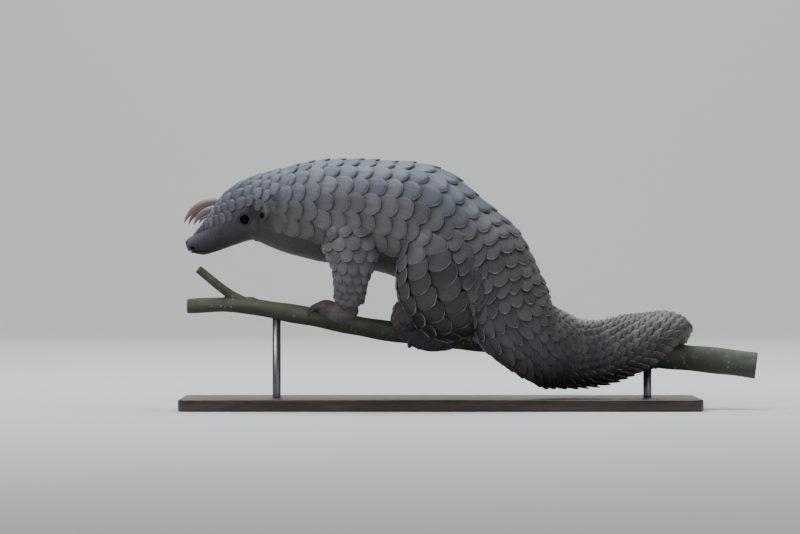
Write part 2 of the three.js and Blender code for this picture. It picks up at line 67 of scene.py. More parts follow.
# Body sections: x, y, z, how far back, belly and sides reach, and how far the back leans left in degrees
BODY = [
    (-304.4, 0, 195.6, 5.4, 6, 5.4, 0),
    (-299, 0, 197.4, 8.6, 11, 8.2, 0),
    (-290, 0, 200.8, 10.4, 17.4, 8.8, 0),
    (-278, 0, 207.2, 14.6, 21, 12.4, 0),
    (-258, 0, 220.2, 24, 27, 18.8, 0),
    (-236, 0, 234.4, 33.4, 35.2, 24.8, 0),
    (-222, 0, 237.6, 39.8, 37.4, 28.4, 0),
    (-202, 0, 238.6, 45.8, 45, 33.8, 0),
    (-176, 0, 238, 52.4, 53, 41.4, 0),
    (-144, 0, 237.6, 58.6, 60.4, 50, 0),
    (-108, 0, 235.8, 61.6, 63.4, 57, 0),
    (-66, 0, 231, 64.4, 66.4, 62, 0),
    (-24, 0, 221.4, 69, 70.4, 66, 0),
    (12, -2, 200.4, 62, 70.6, 68, 0),
    (42, -8, 169.2, 65.6, 68, 66, 4),
    (72, -20, 130.8, 53.6, 49, 58, 14),
    (97, -29, 97.2, 39.6, 41, 50, 40),
    (124, -20, 76.6, 31, 30, 46, 66),
]

# Rest of the tail: x along the branch, turn about it from its left side over its top, back, belly, sides
TAIL = [
    (152, -10, 25.6, 22, 41.4),
    (190, -6, 21, 17, 36.6),
    (216, 12, 19.6, 16, 34.6),
    (240, 33, 19, 18, 34),
    (259, 56, 19, 19.6, 31.4),
    (270, 80, 18.4, 19.6, 29),
    (274, 104, 16.8, 17.6, 26.6),
    (272, 134, 14.6, 14.4, 23),
    (262, 162, 13, 11.6, 20.4),
    (240, 180, 12.2, 10.4, 19),
    (210, 187, 10.6, 9.2, 16.8),
    (178, 190, 8.4, 7.6, 12.4),
    (152, 190, 5.2, 5, 7.4),
    (145, 190, 2.4, 2.4, 3.6),
]

# How far the tail presses into the branch
PRESS = 1.0

# Legs: x, y, z, outer, inner, sides
FORELEG_LEFT = [
    (-104, -30, 224, 20, 20, 34),
    (-105, -43, 196, 21, 20, 33),
    (-104.6, -46, 172, 18, 17, 24),
    (-106.4, -42, 156, 15.4, 15, 18.4),
    (-107.6, -34, 142, 13.6, 13.6, 16.2),
    (-109, -25, 128, 12.4, 12.4, 15),
]
FORELEG_RIGHT = [
    (-112, 30, 222, 22, 22, 30),
    (-132, 48, 214, 20, 20, 26),
    (-158, 60, 210, 17, 17, 20),
    (-184, 64, 213, 15, 15, 17),
    (-214, 60, 224, 13, 13, 14.6),
    (-243, 50, 237, 11, 11, 12.4),
]
THIGH = [
    (-22, 28, 216, 22, 20, 22),
    (-16, 38, 200, 33, 28, 35),
    (-6, 43, 177, 38, 30, 48),
    (4, 46, 151, 37, 28, 55),
    (14, 47, 125, 32, 26, 50),
    (23, 45, 102, 22, 22, 36),
    (28, 41, 89, 10, 10, 18),
]
SHANK = [
    (-18, 50, 128, 18, 16, 20),
    (-38, 42, 114, 17, 14, 18),
    (-44, 32, 102, 14, 12, 14),
]

# How far back each side's hind leg is set, and where a hind foot stands on the branch without that
HIND_SHIFT = {-1: 0, 1: 10}
HIND_FOOT_X = -18

EYE = {"at": (-233.6, 20.6, 227.2), "radius": 5.2, "lids": 7.2, "opening": (5.7, 6.4, 5.5)}

# Folds of skin about the eye: radius, thickness, first and last turn in degrees from the rear over the top.
# They stand out from the eye's middle by FOLD_OUT, less FOLD_DROP times their radius squared
EYE_FOLDS = [(8.4, 1.0, -60, 200), (11.0, 0.9, -20, 130), (9.4, 0.8, 190, 300)]
FOLD_OUT = 1.6
FOLD_DROP = 0.022

# Ridges on the right side of the head, in rows of x, y, z, radius
EAR_RIDGE = [
    (-216, 28, 248, 1.8),
    (-210, 31, 245, 2.8),
    (-206.2, 32.8, 237.6, 3.2),
    (-207.6, 32.8, 229.6, 2.8),
    (-212.6, 30.6, 224.8, 1.8),
]
EAR_LOBE = [(-217, 28.6, 232, 1.5), (-218.6, 28.4, 227, 2.0), (-219, 27.6, 221, 1.4)]
UPPER_LIP = [
    (-302, 3.4, 191, 0.9),
    (-296, 6.6, 190.9, 1.2),
    (-288, 7.4, 190.9, 1.1),
    (-279, 9.4, 191.6, 0.7),
]
LOWER_LIP = [
    (-300, 3.2, 187.9, 0.9),
    (-295, 5.6, 187.5, 1.1),
    (-287, 7.0, 187.4, 1.0),
    (-279, 9.2, 188.4, 0.7),
]
NOSE_FOLD = [(-291.6, 6.2, 204, 0.7), (-290.4, 8.0, 198.6, 0.9), (-291.4, 7.6, 193.4, 0.7)]

BASE = {"length": 620, "width": 200, "height": 14, "corner": 12, "bevel": 2}
ROD = {"radius": 5, "x": (-196, 250)}


# Curves and tubes

# Points of a curve from one given section to the next
STEPS = 40

# Points worked on at once, how far past a tube's end counts as beyond it, and the distance given there
BLOCK = 20000
END_REACH = 4
FAR = 1e3


def catmull(points, centripetal):
    """Points of a Catmull-Rom curve, STEPS to each stretch between two given points, and its last point."""
    p = np.array(points, float)
    p = np.vstack([2 * p[0] - p[1], p, 2 * p[-1] - p[-2]])
    w = np.linspace(0, 1, STEPS, endpoint=False)[:, None]
    pieces = []
    for a, b, c, d in zip(p, p[1:], p[2:], p[3:]):
        if centripetal:
            t0, t1, t2 = (math.sqrt(np.linalg.norm(v - u)) for u, v in ((a, b), (b, c), (c, d)))
            start = ((b - a) / t0 - (c - a) / (t0 + t1) + (c - b) / t1) * t1
            end = ((c - b) / t1 - (d - b) / (t1 + t2) + (d - c) / t2) * t1
        else:
            start, end = (c - a) / 2, (d - b) / 2
        bend, twist = 3 * (c - b) - 2 * start - end, 2 * (b - c) + start + end
        pieces.append(b + start * w + bend * w**2 + twist * w**3)
    return np.vstack(pieces + [p[-2][None]])


def unit(vectors):
    return vectors / np.linalg.norm(vectors, axis=-1, keepdims=True)


def wrap(angle):
    """The same angle from minus half a turn to half a turn."""
    return (angle + math.pi) % (2 * math.pi) - math.pi


class Tube:
    """Tube through cross-sections (middle, up, back, belly, side), read at a distance s along its line."""

    def __init__(self, middles, ups, sizes):
        self.at = catmull(middles, True)
        self.sizes = catmull(sizes, False)
        self.along = unit(np.gradient(self.at, axis=0))
        ups = catmull(ups, False)
        ups -= (ups * self.along).sum(1, keepdims=True) * self.along
        self.up = unit(ups)
        self.left = np.cross(self.along, self.up)
        hops = np.linalg.norm(np.diff(self.at, axis=0), axis=1)
        self.s = np.concatenate([[0], np.cumsum(hops)])
        self.length = self.s[-1]

    def reach(self, station):
        """Distance along the line of a station, which may lie between two given sections."""
        return np.interp(station * STEPS, np.arange(len(self.s)), self.s)

    def station(self, s):
        """Station of a distance along the line."""
        return np.interp(s, self.s, np.arange(len(self.s)) / STEPS)

    def read(self, table, s):
        return np.stack([np.interp(s, self.s, table[:, k]) for k in range(table.shape[1])], -1)

    def surface(self, s, angle, height=0.0):
        """Points at distances s and angles from the back, raised by a height."""
        at, up, left, sizes = (self.read(t, s) for t in (self.at, self.up, self.left, self.sizes))
        cos, sin = np.cos(angle), np.sin(angle)
        tall = np.where(cos > 0, sizes[..., 0], sizes[..., 1])
        high, wide = (tall + height) * cos, (sizes[..., 2] + height) * sin
        return at + up * high[..., None] + left * wide[..., None]

    def metric(self, s, angle):
        """Millimetres of surface to one millimetre of s, and to one radian of angle."""
        ds, da = 0.5, 0.01
        here = self.surface(s, angle)
        return (
            np.linalg.norm(self.surface(s + ds, angle) - here, axis=-1) / ds,
            np.linalg.norm(self.surface(s, angle + da) - here, axis=-1) / da,
        )

    def outside(self, points, stride=4):
        """How far points lie outside the tube, less than zero inside it, and the way out."""
        flat = points.reshape(-1, 3)
        distance = np.full(len(flat), FAR)
        way = np.zeros_like(flat)
        reach = self.sizes.max()
        low, high = self.at.min(0) - reach, self.at.max(0) + reach
        near = np.nonzero(((flat > low) & (flat < high)).all(1))[0]
        samples = np.arange(0, len(self.at), stride)
        for block in np.array_split(near, max(1, len(near) // BLOCK)):
            if len(block) == 0:
                continue
            p = flat[block]
            gaps = ((p[:, None] - self.at[samples][None]) ** 2).sum(2)
            k = samples[gaps.argmin(1)]
            rel = p - self.at[k]
            a, b, c = ((rel * v[k]).sum(1) for v in (self.up, self.left, self.along))
            tall = np.where(a > 0, self.sizes[k, 0], self.sizes[k, 1])
            side = self.sizes[k, 2]
            share = np.sqrt((a / tall) ** 2 + (b / side) ** 2) + 1e-6
            rise, lean = a / tall**2 / share, b / side**2 / share
            slope = self.up[k] * rise[:, None] + self.left[k] * lean[:, None]
            steep = np.linalg.norm(slope, axis=1) + 1e-9
            distance[block] = np.where(np.abs(c) > END_REACH, FAR, (share - 1) / steep)
            way[block] = slope / steep[:, None]
        return distance.reshape(points.shape[:-1]), way.reshape(points.shape)


def round_tube(rows, up=(0, 0, 1)):
    """Tube through rows of x, y, z, radius."""
    rows = np.array(rows, float)
    return Tube(rows[:, :3], [up] * len(rows), np.repeat(rows[:, 3:4], 3, 1))


branch = round_tube(BRANCH)
shoot = round_tube(SHOOT)


def branch_at(x):
    """Middle and radius of the branch at x."""
    k = np.interp(x, branch.at[:, 0], np.arange(len(branch.at)))
    read = lambda column: np.interp(k, np.arange(len(column)), column)
    return read(branch.at[:, 1]), read(branch.at[:, 2]), read(branch.sizes[:, 0])


def animal_tube():
    """Body and tail from the nose to the tip of the tail."""
    middles, ups, sizes = [], [], []
    for x, y, z, back, belly, side, lean in BODY:
        lean = math.radians(lean)
        middles.append((x, y, z))
        ups.append((0, -math.sin(lean), math.cos(lean)))
        sizes.append((back, belly, side))
    for x, turn, back, belly, side in TAIL:
        y, z, radius = branch_at(x)
        up = np.array([0, -math.cos(math.radians(turn)), math.sin(math.radians(turn))])
        middles.append(np.array([x, y, z]) + up * (radius + belly - PRESS))
        ups.append(up)
        sizes.append((back, belly, side))
    return Tube(middles, ups, sizes)


def limb(rows, outward):
    rows = np.array(rows, float)
    return Tube(rows[:, :3], [outward] * len(rows), rows[:, 3:])


def mirrored(rows, side, shift=0):
    """Rows that start with x, y, z, given for the right side, on either side and set back by shift."""
    return [(x + shift, side * y, z, *rest) for x, y, z, *rest in rows]


def mirror_side(point, side):
    return mirrored([point], side)[0]


SIDES = {"left": -1, "right": 1}
body = animal_tube()
forelegs = {
    "left": limb(FORELEG_LEFT, (0, -1, 0.2)),
    "right": limb(FORELEG_RIGHT, (0, 1, 0.2)),
}
thighs, shanks = {}, {}
for name, side in SIDES.items():
    thighs[name] = limb(mirrored(THIGH, side, HIND_SHIFT[side]), (0, side, 0.25))
    shanks[name] = limb(mirrored(SHANK, side, HIND_SHIFT[side]), (0, side, 0.25))

TAIL_START = body.reach(16)

# How low on the body the legs' scales count as lying, by their height: -1 on its top, 1 and more underneath.
# It darkens them downwards, partly as painted shade
LEG_LOW = {
    "foreleg": [(128, 0.35), (224, -0.2)],
    "thigh": [(95, 2.0), (216, -0.4)],
    "shank": [(96, 1.4), (128, 1.0)],
}


def place_on_body(points, stride=8):
    """Station of the body nearest to each point, and how low the point lies about it: -1 top, 1 bottom."""
    samples = np.arange(0, len(body.at), stride)
    low = np.zeros(len(points))
    s = np.zeros(len(points))
    for block in np.array_split(np.arange(len(points)), max(1, len(points) // BLOCK)):
        p = points[block]
        k = samples[((p[:, None] - body.at[samples][None]) ** 2).sum(2).argmin(1)]
        s[block] = body.s[k]
        low[block] = (body.at[k, 2] - p[:, 2]) / body.sizes[k, :2].mean(1)
    return body.station(s), low


# Meshes

def add_object(name, mesh):
    """Smooth object of a mesh, in the scene."""
    mesh.shade_smooth()
    thing = bpy.data.objects.new(name, mesh)
    bpy.context.scene.collection.objects.link(thing)
    return thing


def mesh_object(name, points, faces):
    """Object from points in millimetres and an array or list of faces."""
    mesh = bpy.data.meshes.new(name)
    mesh.from_pydata((np.asarray(points) * MM).tolist(), [], [list(map(int, f)) for f in faces])
    return add_object(name, mesh)


def quad_object(name, points, quads):
    """Object from many points in millimetres and an array of four-sided faces, made quickly."""
    mesh = bpy.data.meshes.new(name)
    mesh.vertices.add(len(points))
    mesh.vertices.foreach_set("co", (points * MM).astype(np.float32).ravel())
    mesh.loops.add(quads.size)
    mesh.loops.foreach_set("vertex_index", quads.astype(np.int32).ravel())
    mesh.polygons.add(len(quads))
    mesh.polygons.foreach_set("loop_start", np.arange(0, quads.size, 4, dtype=np.int32))
    mesh.update(calc_edges=True)
    return add_object(name, mesh)


def register(piece, slot, *nodes):
    """Rides a piece on the one body and hides the solids that it stands for, if any. The slot is not used."""
    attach(piece, "root")
    if nodes:
        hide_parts(*nodes)


def set_uv(mesh, name, values):
    """UV map from one pair of values for each vertex."""
    layer = mesh.uv_layers.new(name=name)
    corners = np.zeros(len(mesh.loops), np.int32)
    mesh.loops.foreach_get("vertex_index", corners)
    layer.data.foreach_set("uv", values[corners].astype(np.float32).ravel())


def set_number(mesh, name, values):
    mesh.attributes.new(name, "FLOAT", "POINT").data.foreach_set("value", values.astype(np.float32))


def set_place(mesh, points, copies=1, leg=None):
    """Keeps on the mesh where points lie on the body, each for so many vertices in a row."""
    station, low = place_on_body(points)
    if leg:
        low = np.interp(points[:, 2], *zip(*LEG_LOW[leg]))
    set_number(mesh, "station", np.repeat(station, copies))
    set_number(mesh, "low", np.repeat(low, copies))


def grid_faces(rows, columns, closed):
    """Faces of a grid of points in rows, outward when columns turn left to right seen from outside."""
    r, c = np.meshgrid(np.arange(rows - 1), np.arange(columns if closed else columns - 1), indexing="ij")
    nxt = (c + 1) % columns
    a, b = r * columns + c, r * columns + nxt
    return np.stack([a, b, b + columns, a + columns], -1).reshape(-1, 4)


def tube_faces(rings, sides):
    """Faces of rings of points, closed by one face at each end."""
    return [*grid_faces(rings, sides, True), range(sides)[::-1], range((rings - 1) * sides, rings * sides)]


def tube_shell(tube, spacing, columns, height=None, end=None):
    """Points and faces of a tube from its start, closed by flat ends."""
    end = tube.length if end is None else end
    rows = max(4, int(end / spacing))
    turns = np.linspace(0, 2 * math.pi, columns, endpoint=False)
    s, angle = np.meshgrid(np.linspace(0, end, rows), turns, indexing="ij")
    raised = np.zeros_like(s) if height is None else height(s, angle)
    return tube.surface(s, angle, raised).reshape(-1, 3), tube_faces(rows, columns)


def ridge_shell(rows, side, columns, spacing=0.8):
    """Round ridge through rows given for the right side, on either side."""
    return tube_shell(round_tube(mirrored(rows, side), (0, side, 0)), spacing, columns)


def ball_shell(at, halves, turn=0.0, rings=16, sides=24):
    """Points and faces of an ellipsoid, turned about the y axis by degrees."""
    turns = np.linspace(0, 2 * math.pi, sides, endpoint=False)
    tilt, around = np.meshgrid(np.linspace(0, math.pi, rings + 1)[1:-1], turns, indexing="ij")
    points = np.stack([np.sin(tilt) * np.cos(around), np.sin(tilt) * np.sin(around), np.cos(tilt)], -1)
    points = np.vstack([points.reshape(-1, 3), [[0, 0, 1], [0, 0, -1]]]) * halves
    cos, sin = math.cos(math.radians(turn)), math.sin(math.radians(turn))
    points = points @ np.array([[cos, 0, -sin], [0, 1, 0], [sin, 0, cos]]) + np.array(at)
    faces = [list(f[::-1]) for f in grid_faces(rings - 1, sides, True)]
    top, bottom = len(points) - 2, len(points) - 1
    last = (rings - 2) * sides
    faces += [[top, k, (k + 1) % sides] for k in range(sides)]
    faces += [[bottom, last + (k + 1) % sides, last + k] for k in range(sides)]
    return points, faces


def joined_shells(shells):
    points, faces, first = [], [], 0
    for shell_points, shell_faces in shells:
        points.append(shell_points)
        faces += [[first + k for k in face] for face in shell_faces]
        first += len(shell_points)
    return np.vstack(points), faces


def keep_modifier(thing):
    """Applies the object's modifiers to its mesh."""
    bpy.context.view_layer.update()
    seen = thing.evaluated_get(bpy.context.evaluated_depsgraph_get())
    mesh = bpy.data.meshes.new_from_object(seen)
    thing.modifiers.clear()
    old = thing.data
    thing.data = mesh
    bpy.data.meshes.remove(old)


def fuse(thing, voxel, rounds):
    """Remeshes overlapping shells to one surface, and softens it in some rounds."""
    remesh = thing.modifiers.new("one_surface", "REMESH")
    remesh.mode = "VOXEL"
    remesh.voxel_size = voxel * MM
    remesh.use_smooth_shade = True
    smooth = thing.modifiers.new("soften", "SMOOTH")
    smooth.iterations = rounds
    keep_modifier(thing)


# Where scales cover the body: degrees from the back that they reach down to, by station, the degrees over
# which they fade out, and the stations between which they are the crown's

COVER = {
    2.5: 24, 2.8: 42, 3.1: 60, 4: 77, 5: 79, 6: 80, 7: 106,
    8: 126, 9: 134, 12: 136, 14: 146, 15: 164, 16: 185,
}
COVER_FADE = 10
CROWN_START = 2.3
CROWN_END = 7.7


def cover_limit(s):
    """Angle in degrees from the back down to which scales cover the body, below zero ahead of the crown."""
    limit = np.interp(s, [body.reach(k) for k in COVER], list(COVER.values()))
    return np.where(s < body.reach(CROWN_START), -1, limit)


def body_cover(s, angle):
    """Share of cover, from 0 on bare skin to 1 under scales."""
    return np.clip((cover_limit(s) - np.abs(np.degrees(wrap(angle)))) / COVER_FADE + 0.5, 0, 1)


# Claws: x, y, z of the root, aim, bend, length, radius; each follows an arc of CLAW_TURN degrees

CLAW_TURN = 88
CLAW_TAPER = 2
CLAW_TIP = 0.4


def claw_path(at, aim, bend, length, radius, count=5):
    """Rows of x, y, z, radius along a claw, from its root to its tip."""
    forward = unit(np.array(aim, float))
    sideways = np.array(bend, float)
    sideways = unit(sideways - sideways.dot(forward) * forward)
    turn = math.radians(CLAW_TURN)
    rows = []
    for part in np.linspace(0, 1, count):
        reach = length / turn * math.sin(turn * part)
        drop = length / turn * (1 - math.cos(turn * part))
        place = np.array(at) + forward * reach + sideways * drop
        rows.append((*place, radius + (CLAW_TIP - radius) * part**CLAW_TAPER))
    return rows


def claws_of(foot):
    """Claws of one foot. Its rows hold only what differs from claw to claw."""
    if foot == "forefoot_left":
        rows = [(-27, 14), (-21, 20), (-14, 23), (-8, 16)]
        return [((-144, y, 124), (-1, 0, 0), (0, 0, -1), length, 3.8) for y, length in rows]
    if foot == "forefoot_right":
        rows = [(40, 238, 41), (47, 246, 56), (54, 242, 50), (59, 237, 34)]
        return [((-264, y, z), (-1, 0, 0.32), (0, 0, -1), length, 6.2) for y, z, length in rows]
    side = SIDES[foot.split("_")[1]]
    shift = HIND_SHIFT[side]
    y = branch_at(HIND_FOOT_X + shift)[0] + side * 27
    rows = [(-33, 88), (-22, 86), (-10, 84), (2, 84), (12, 86)]
    return [((x + shift, y, z), (-0.3, 0, -1), (0, -side, 0), 22, 4.8) for x, z in rows]


FEET = ["forefoot_left", "forefoot_right", "hindfoot_left", "hindfoot_right"]


# Skin: one closed surface over all of the flesh, lowered where scales cover it

SKIN_VOXEL = 1.25
SKIN_DEPTH = 0.9
LEG_DEPTH = 0.6 * SKIN_DEPTH

# Toes: width in claw widths, how far behind the claw's root they start, and share of the claw that they cover
TOE_WIDTH = 1.22
TOE_START = 8
TOE_REACH = {"forefoot_left": 0.2, "forefoot_right": 0.08, "hindfoot_left": 0.42, "hindfoot_right": 0.42}

# Palms, as balls: middle, half sizes, turn in degrees
PALMS = [
    ((-117, -19, 117), (20, 13, 13.4), -8),
    ((-134, -17, 121.5), (15, 12, 9.6), 10),
    ((-252, 48, 237.5), (18, 13, 9), 26),
]

# Heel and sole of a hind foot, in the same way, with y from the branch's middle
SOLES = [((-44, 24, 104), (15, 14, 15), 0), ((-22, 21, 92), (37, 13, 20), 22)]

# Pits of the right side of the head, in the same way: nostril, opening of the ear, end of the mouth
PITS = [
    ((-296.4, 6.8, 193.2), (3.6, 2.6, 1.8), 24),
    ((-211.8, 30, 231.6), (3.4, 4.8, 4.2), 0),
    ((-289, 9, 189.3), (13, 5, 0.6), 0),
]

# Front of the mouth, how far out the opening of the lids lies and its turn, and the room about the eyeball
MOUTH_FRONT = ((-299, 0, 189.3), (4, 6, 0.6))
OPENING_OUT = 5.4
OPENING_TURN = 12
SOCKET_GAP = 0.25


def foot_shells():
    """Palms, soles and toes."""
    shells = [ball_shell(*palm) for palm in PALMS]
    for side in SIDES.values():
        shift = HIND_SHIFT[side]
        middle = branch_at(HIND_FOOT_X + shift)[0]
        for (x, y, z), halves, turn in SOLES:
            shells.append(ball_shell((x + shift, middle + side * y, z), halves, turn))
    for foot in FEET:
        for at, aim, bend, length, radius in claws_of(foot):
            root = np.array(at) - unit(np.array(aim, float)) * TOE_START
            rows = [(*root, radius * TOE_WIDTH)]
            rows += [(x, y, z, r * TOE_WIDTH) for x, y, z, r in claw_path(at, aim, bend, length, radius)[:3]]
            end = TOE_START + length * TOE_REACH[foot]
            shells.append(tube_shell(round_tube(rows, (0, 1, 0.3)), 1.5, 16, end=end))
    return shells


def lid_shells():
    """Lids and the folds about them, and the lobe in front of each ear."""
    shells = []
    x, y, z = EYE["at"]
    for side in SIDES.values():
        shells.append(ball_shell((x, side * y, z), (EYE["lids"],) * 3))
        for radius, thick, first, last in EYE_FOLDS:
            out = y + FOLD_OUT - FOLD_DROP * radius**2
            turns = np.radians(np.linspace(first, last, 9))
            ring = [(x + radius * math.cos(a), out, z + radius * math.sin(a), thick) for a in turns]
            shells.append(ridge_shell(ring, side, 10))
        shells.append(ridge_shell(EAR_LOBE, side, 12))
    return shells


def make_skin():
    """The flesh's tubes, balls and ridges, remeshed to one surface."""
    shells = [tube_shell(body, 2.5, 96, lambda s, a: -SKIN_DEPTH * body_cover(s, a))]
    shells += foot_shells()
    shells += [ridge_shell(EAR_RIDGE, side, 16, 1.0) for side in SIDES.values()]
    shells += lid_shells()
    shells += [
        ridge_shell(rows, side, 10) for side in SIDES.values() for rows in (UPPER_LIP, LOWER_LIP, NOSE_FOLD)]
    lowered = lambda s, a: np.full_like(s, -LEG_DEPTH)
    for tubes in (forelegs, thighs, shanks):
        shells += [tube_shell(tube, 2.5, 64, lowered) for tube in tubes.values()]
    skin = mesh_object("skin", *joined_shells(shells))
    fuse(skin, SKIN_VOXEL, 4)
    return skin


def carve(skin, shells):
    """Cuts pits and slots into the skin."""
    cutter = mesh_object("cutter", *joined_shells(shells))
    cut = skin.modifiers.new("pits", "BOOLEAN")
    cut.operation = "DIFFERENCE"
    cut.object = cutter
    cut.solver = "MANIFOLD"
    keep_modifier(skin)
    bpy.data.objects.remove(cutter)


def head_pits():
    """Openings of eyes, nose, ears and mouth, then sockets and the mouth's front, as two groups of balls."""
    openings, sockets = [], [ball_shell(*MOUTH_FRONT)]
    x, y, z = EYE["at"]
    for side in SIDES.values():
        openings.append(ball_shell((x, side * (y + OPENING_OUT), z), EYE["opening"], OPENING_TURN))
        openings += [ball_shell(mirror_side(at, side), halves, turn) for at, halves, turn in PITS]
        sockets.append(ball_shell((x, side * y, z), (EYE["radius"] + SOCKET_GAP,) * 3))
    return openings, sockets


skin = make_skin()
for pits in head_pits():
    carve(skin, pits)
skin_points = np.zeros(3 * len(skin.data.vertices), np.float32)
skin.data.vertices.foreach_get("co", skin_points)
set_place(skin.data, skin_points.reshape(-1, 3) / MM)
register(
    skin, "skin", "head", "neck", "chest", "back", "rump", *[f"tail_{k}" for k in range(1, 6)],
    *[f"{part}_{name}" for part in ("ear", "foreleg", "forefoot", "hindleg", "hindfoot") for name in SIDES])


# Scales

class Plates:
    """Many scales of one kind: where each sits on its tube, and how large it is."""

    def __init__(self, tube, detail):
        self.tube = tube
        self.detail = detail
        self.rows = []

    def column(self, name):
        return np.array([row[name] for row in self.rows])[:, None, None]


PLATE_DEFAULTS = {
    "wide": 1.0,      # width in shares of the ring's own
    "lift": 3.6,      # height of the tip's outer face over the skin's surface
    "root": 0.3,      # the same at the root
    "thick": 1.4,     # thickness at the tip
    "shoulder": 0.5,  # share of the length at which the free edge starts to round
    "point": 0.2,     # 0 for a round tip, 1 for a pointed one
    "keel": 0.0,      # height of the ridge along the middle
    "dome": 0.0,      # height of the bulge of the part that shows
    "ridges": 0.1,    # height of the fine ridges
    "roll": 0.0,      # how much higher the edge towards growing angles lies
    "turn": 0.0,      # degrees that the tip turns towards growing angles
    "pale": 0.0,      # 0 for the colour of its place, 1 for pale horn
}


def plate_points(plates, others):
    """Points of all scales, (scales, faces 2, across, along, 3), and their places across and along."""
    across, along = plates.detail
    t = np.linspace(-1, 1, across)
    w = np.linspace(0, 1, along) ** 0.85
    t, w = np.meshgrid(t, w, indexing="ij")
    u = np.sin(t * math.pi / 2)
    get = plates.column

    # Outline: v is how far along the scale a point lies, with a tip between round and pointed, and the scale
    # narrows from its shoulder to its root. The place that its row gives is 0.56 of the way along
    round_edge = np.sqrt(np.clip(1 - u**2, 0, 1))
    sharp_edge = 1 - np.abs(t) ** 1.15
    edge = round_edge * (1 - get("point")) + sharp_edge * get("point")
    v = w * (get("shoulder") + (1 - get("shoulder")) * edge)
    narrow = 0.72 + 0.28 * np.clip(v / get("shoulder"), 0, 1)
    fore = (v - 0.56) * get("length")
    side = 0.5 * get("width") * u * narrow
    stretch, girth = plates.tube.metric(get("s"), get("angle"))
    cos, sin = np.cos(np.radians(get("turn"))), np.sin(np.radians(get("turn")))
    s = get("s") + (fore * cos - side * sin) / stretch
    angle = get("angle") + (fore * sin + side * cos) / girth

    # Heights over the skin: 4 to 6 fine ridges, a keel, a crowned back with a bulge where it shows, a rise
    # from root to tip, and a rim that thins at the very edge
    ridges = get("ridges") * np.sin(u * (13 + 6 * get("tone")) + get("tone") * 40) * np.clip(v * 3, 0, 1)
    keel = get("keel") * np.exp(-((u / 0.22) ** 2)) * v
    crown = 0.45 * (1 - u**2) * get("thick")
    crown = crown + get("dome") * (1 - u**2) * np.clip(1 - ((v - 0.7) / 0.34) ** 2, 0, 1)
    rise = get("root") + (get("lift") - get("root")) * v**1.1 + get("roll") * u
    rim = np.clip((w - 0.88) / 0.12, 0, 1) ** 2 + np.clip((np.abs(u) - 0.92) / 0.08, 0, 1) ** 2
    top = rise + ridges + keel + crown - 0.3 * np.clip(rim, 0, 1) * get("thick")
    bottom = rise - get("thick") * (0.55 + 0.45 * v)

    # Where another tube is in the way, a point keeps its height over that one too
    faces = []
    for height in (top, bottom):
        points = plates.tube.surface(s, angle, height)
        for other in others:
            out, way = other.outside(points)
            points = points + way * np.clip(height - out, 0, None)[..., None]
        faces.append(points)
    return np.stack(faces, 1), t, w


def plate_faces(across, along):
    """Faces of one scale: outer face, inner face and rim."""
    top = grid_faces(across, along, False)
    layer = across * along
    index = lambda r, c: r * along + c
    loop = [index(0, c) for c in range(along)] + [index(r, along - 1) for r in range(1, across)]
    loop += [index(across - 1, c) for c in range(along - 2, -1, -1)]
    loop += [index(r, 0) for r in range(across - 2, 0, -1)]
    loop = np.array(loop)
    nxt = np.roll(loop, -1)
    rim = np.stack([loop, nxt, nxt + layer, loop + layer], 1)
    return np.vstack([top, top[:, ::-1] + layer, rim[:, ::-1]])


# Places of the tubes on the unwrap of the coat, as u0, v0, du, dv, and the width of a scale's patch there
ATLAS = {
    "body": (0.02, 0.4, 0.96, 0.58),
    "crown": (0.02, 0.32, 0.3, 0.06),
    "foreleg_left": (0.02, 0.02, 0.2, 0.28),
    "foreleg_right": (0.24, 0.02, 0.2, 0.28),
    "thigh_left": (0.46, 0.02, 0.14, 0.28),
    "thigh_right": (0.62, 0.02, 0.14, 0.28),
    "shank_left": (0.78, 0.02, 0.09, 0.28),
    "shank_right": (0.89, 0.02, 0.09, 0.28),
}
ATLAS_PATCH = 0.003


def repeat_faces(faces, count, size):
    """Faces of many like pieces of so many points each."""
    return (faces[None] + (np.arange(count) * size)[:, None, None]).reshape(-1, 4)


def set_patches(mesh, atlas, tube, s, angle, local):
    """UV map OFBake: each piece is a small patch at its root's place on the unwrap of its tube."""
    u0, v0, du, dv = ATLAS[atlas]
    roots = np.stack([u0 + du * s / tube.length, v0 + dv * (0.5 + angle / (2 * math.pi))], -1)
    set_uv(mesh, "OFBake", np.repeat(roots, len(local) // len(s), 0) + (local - 0.5) * ATLAS_PATCH)


def make_plates(name, plates, atlas, others=(), leg=None):
    """One mesh of all scales in plates, lifted clear of other tubes."""
    points, t, w = plate_points(plates, others)
    count = len(plates.rows)
    across, along = plates.detail
    size = 2 * across * along
    quads = repeat_faces(plate_faces(across, along), count, size)
    thing = quad_object(name, points.reshape(-1, 3), quads)
    local = np.stack([(t + 1) / 2, w], -1)
    local = np.broadcast_to(local, (count, 2, across, along, 2)).reshape(-1, 2)
    set_uv(thing.data, "Plate", local)
    s, angle = (plates.column(key).ravel() for key in ("s", "angle"))
    set_patches(thing.data, atlas, plates.tube, s, angle, local)
    for key in ("tone", "pale"):
        set_number(thing.data, key, np.repeat(plates.column(key).ravel(), size))
    set_place(thing.data, middles(plates), size, leg)
    register(thing, "scales")
    return thing


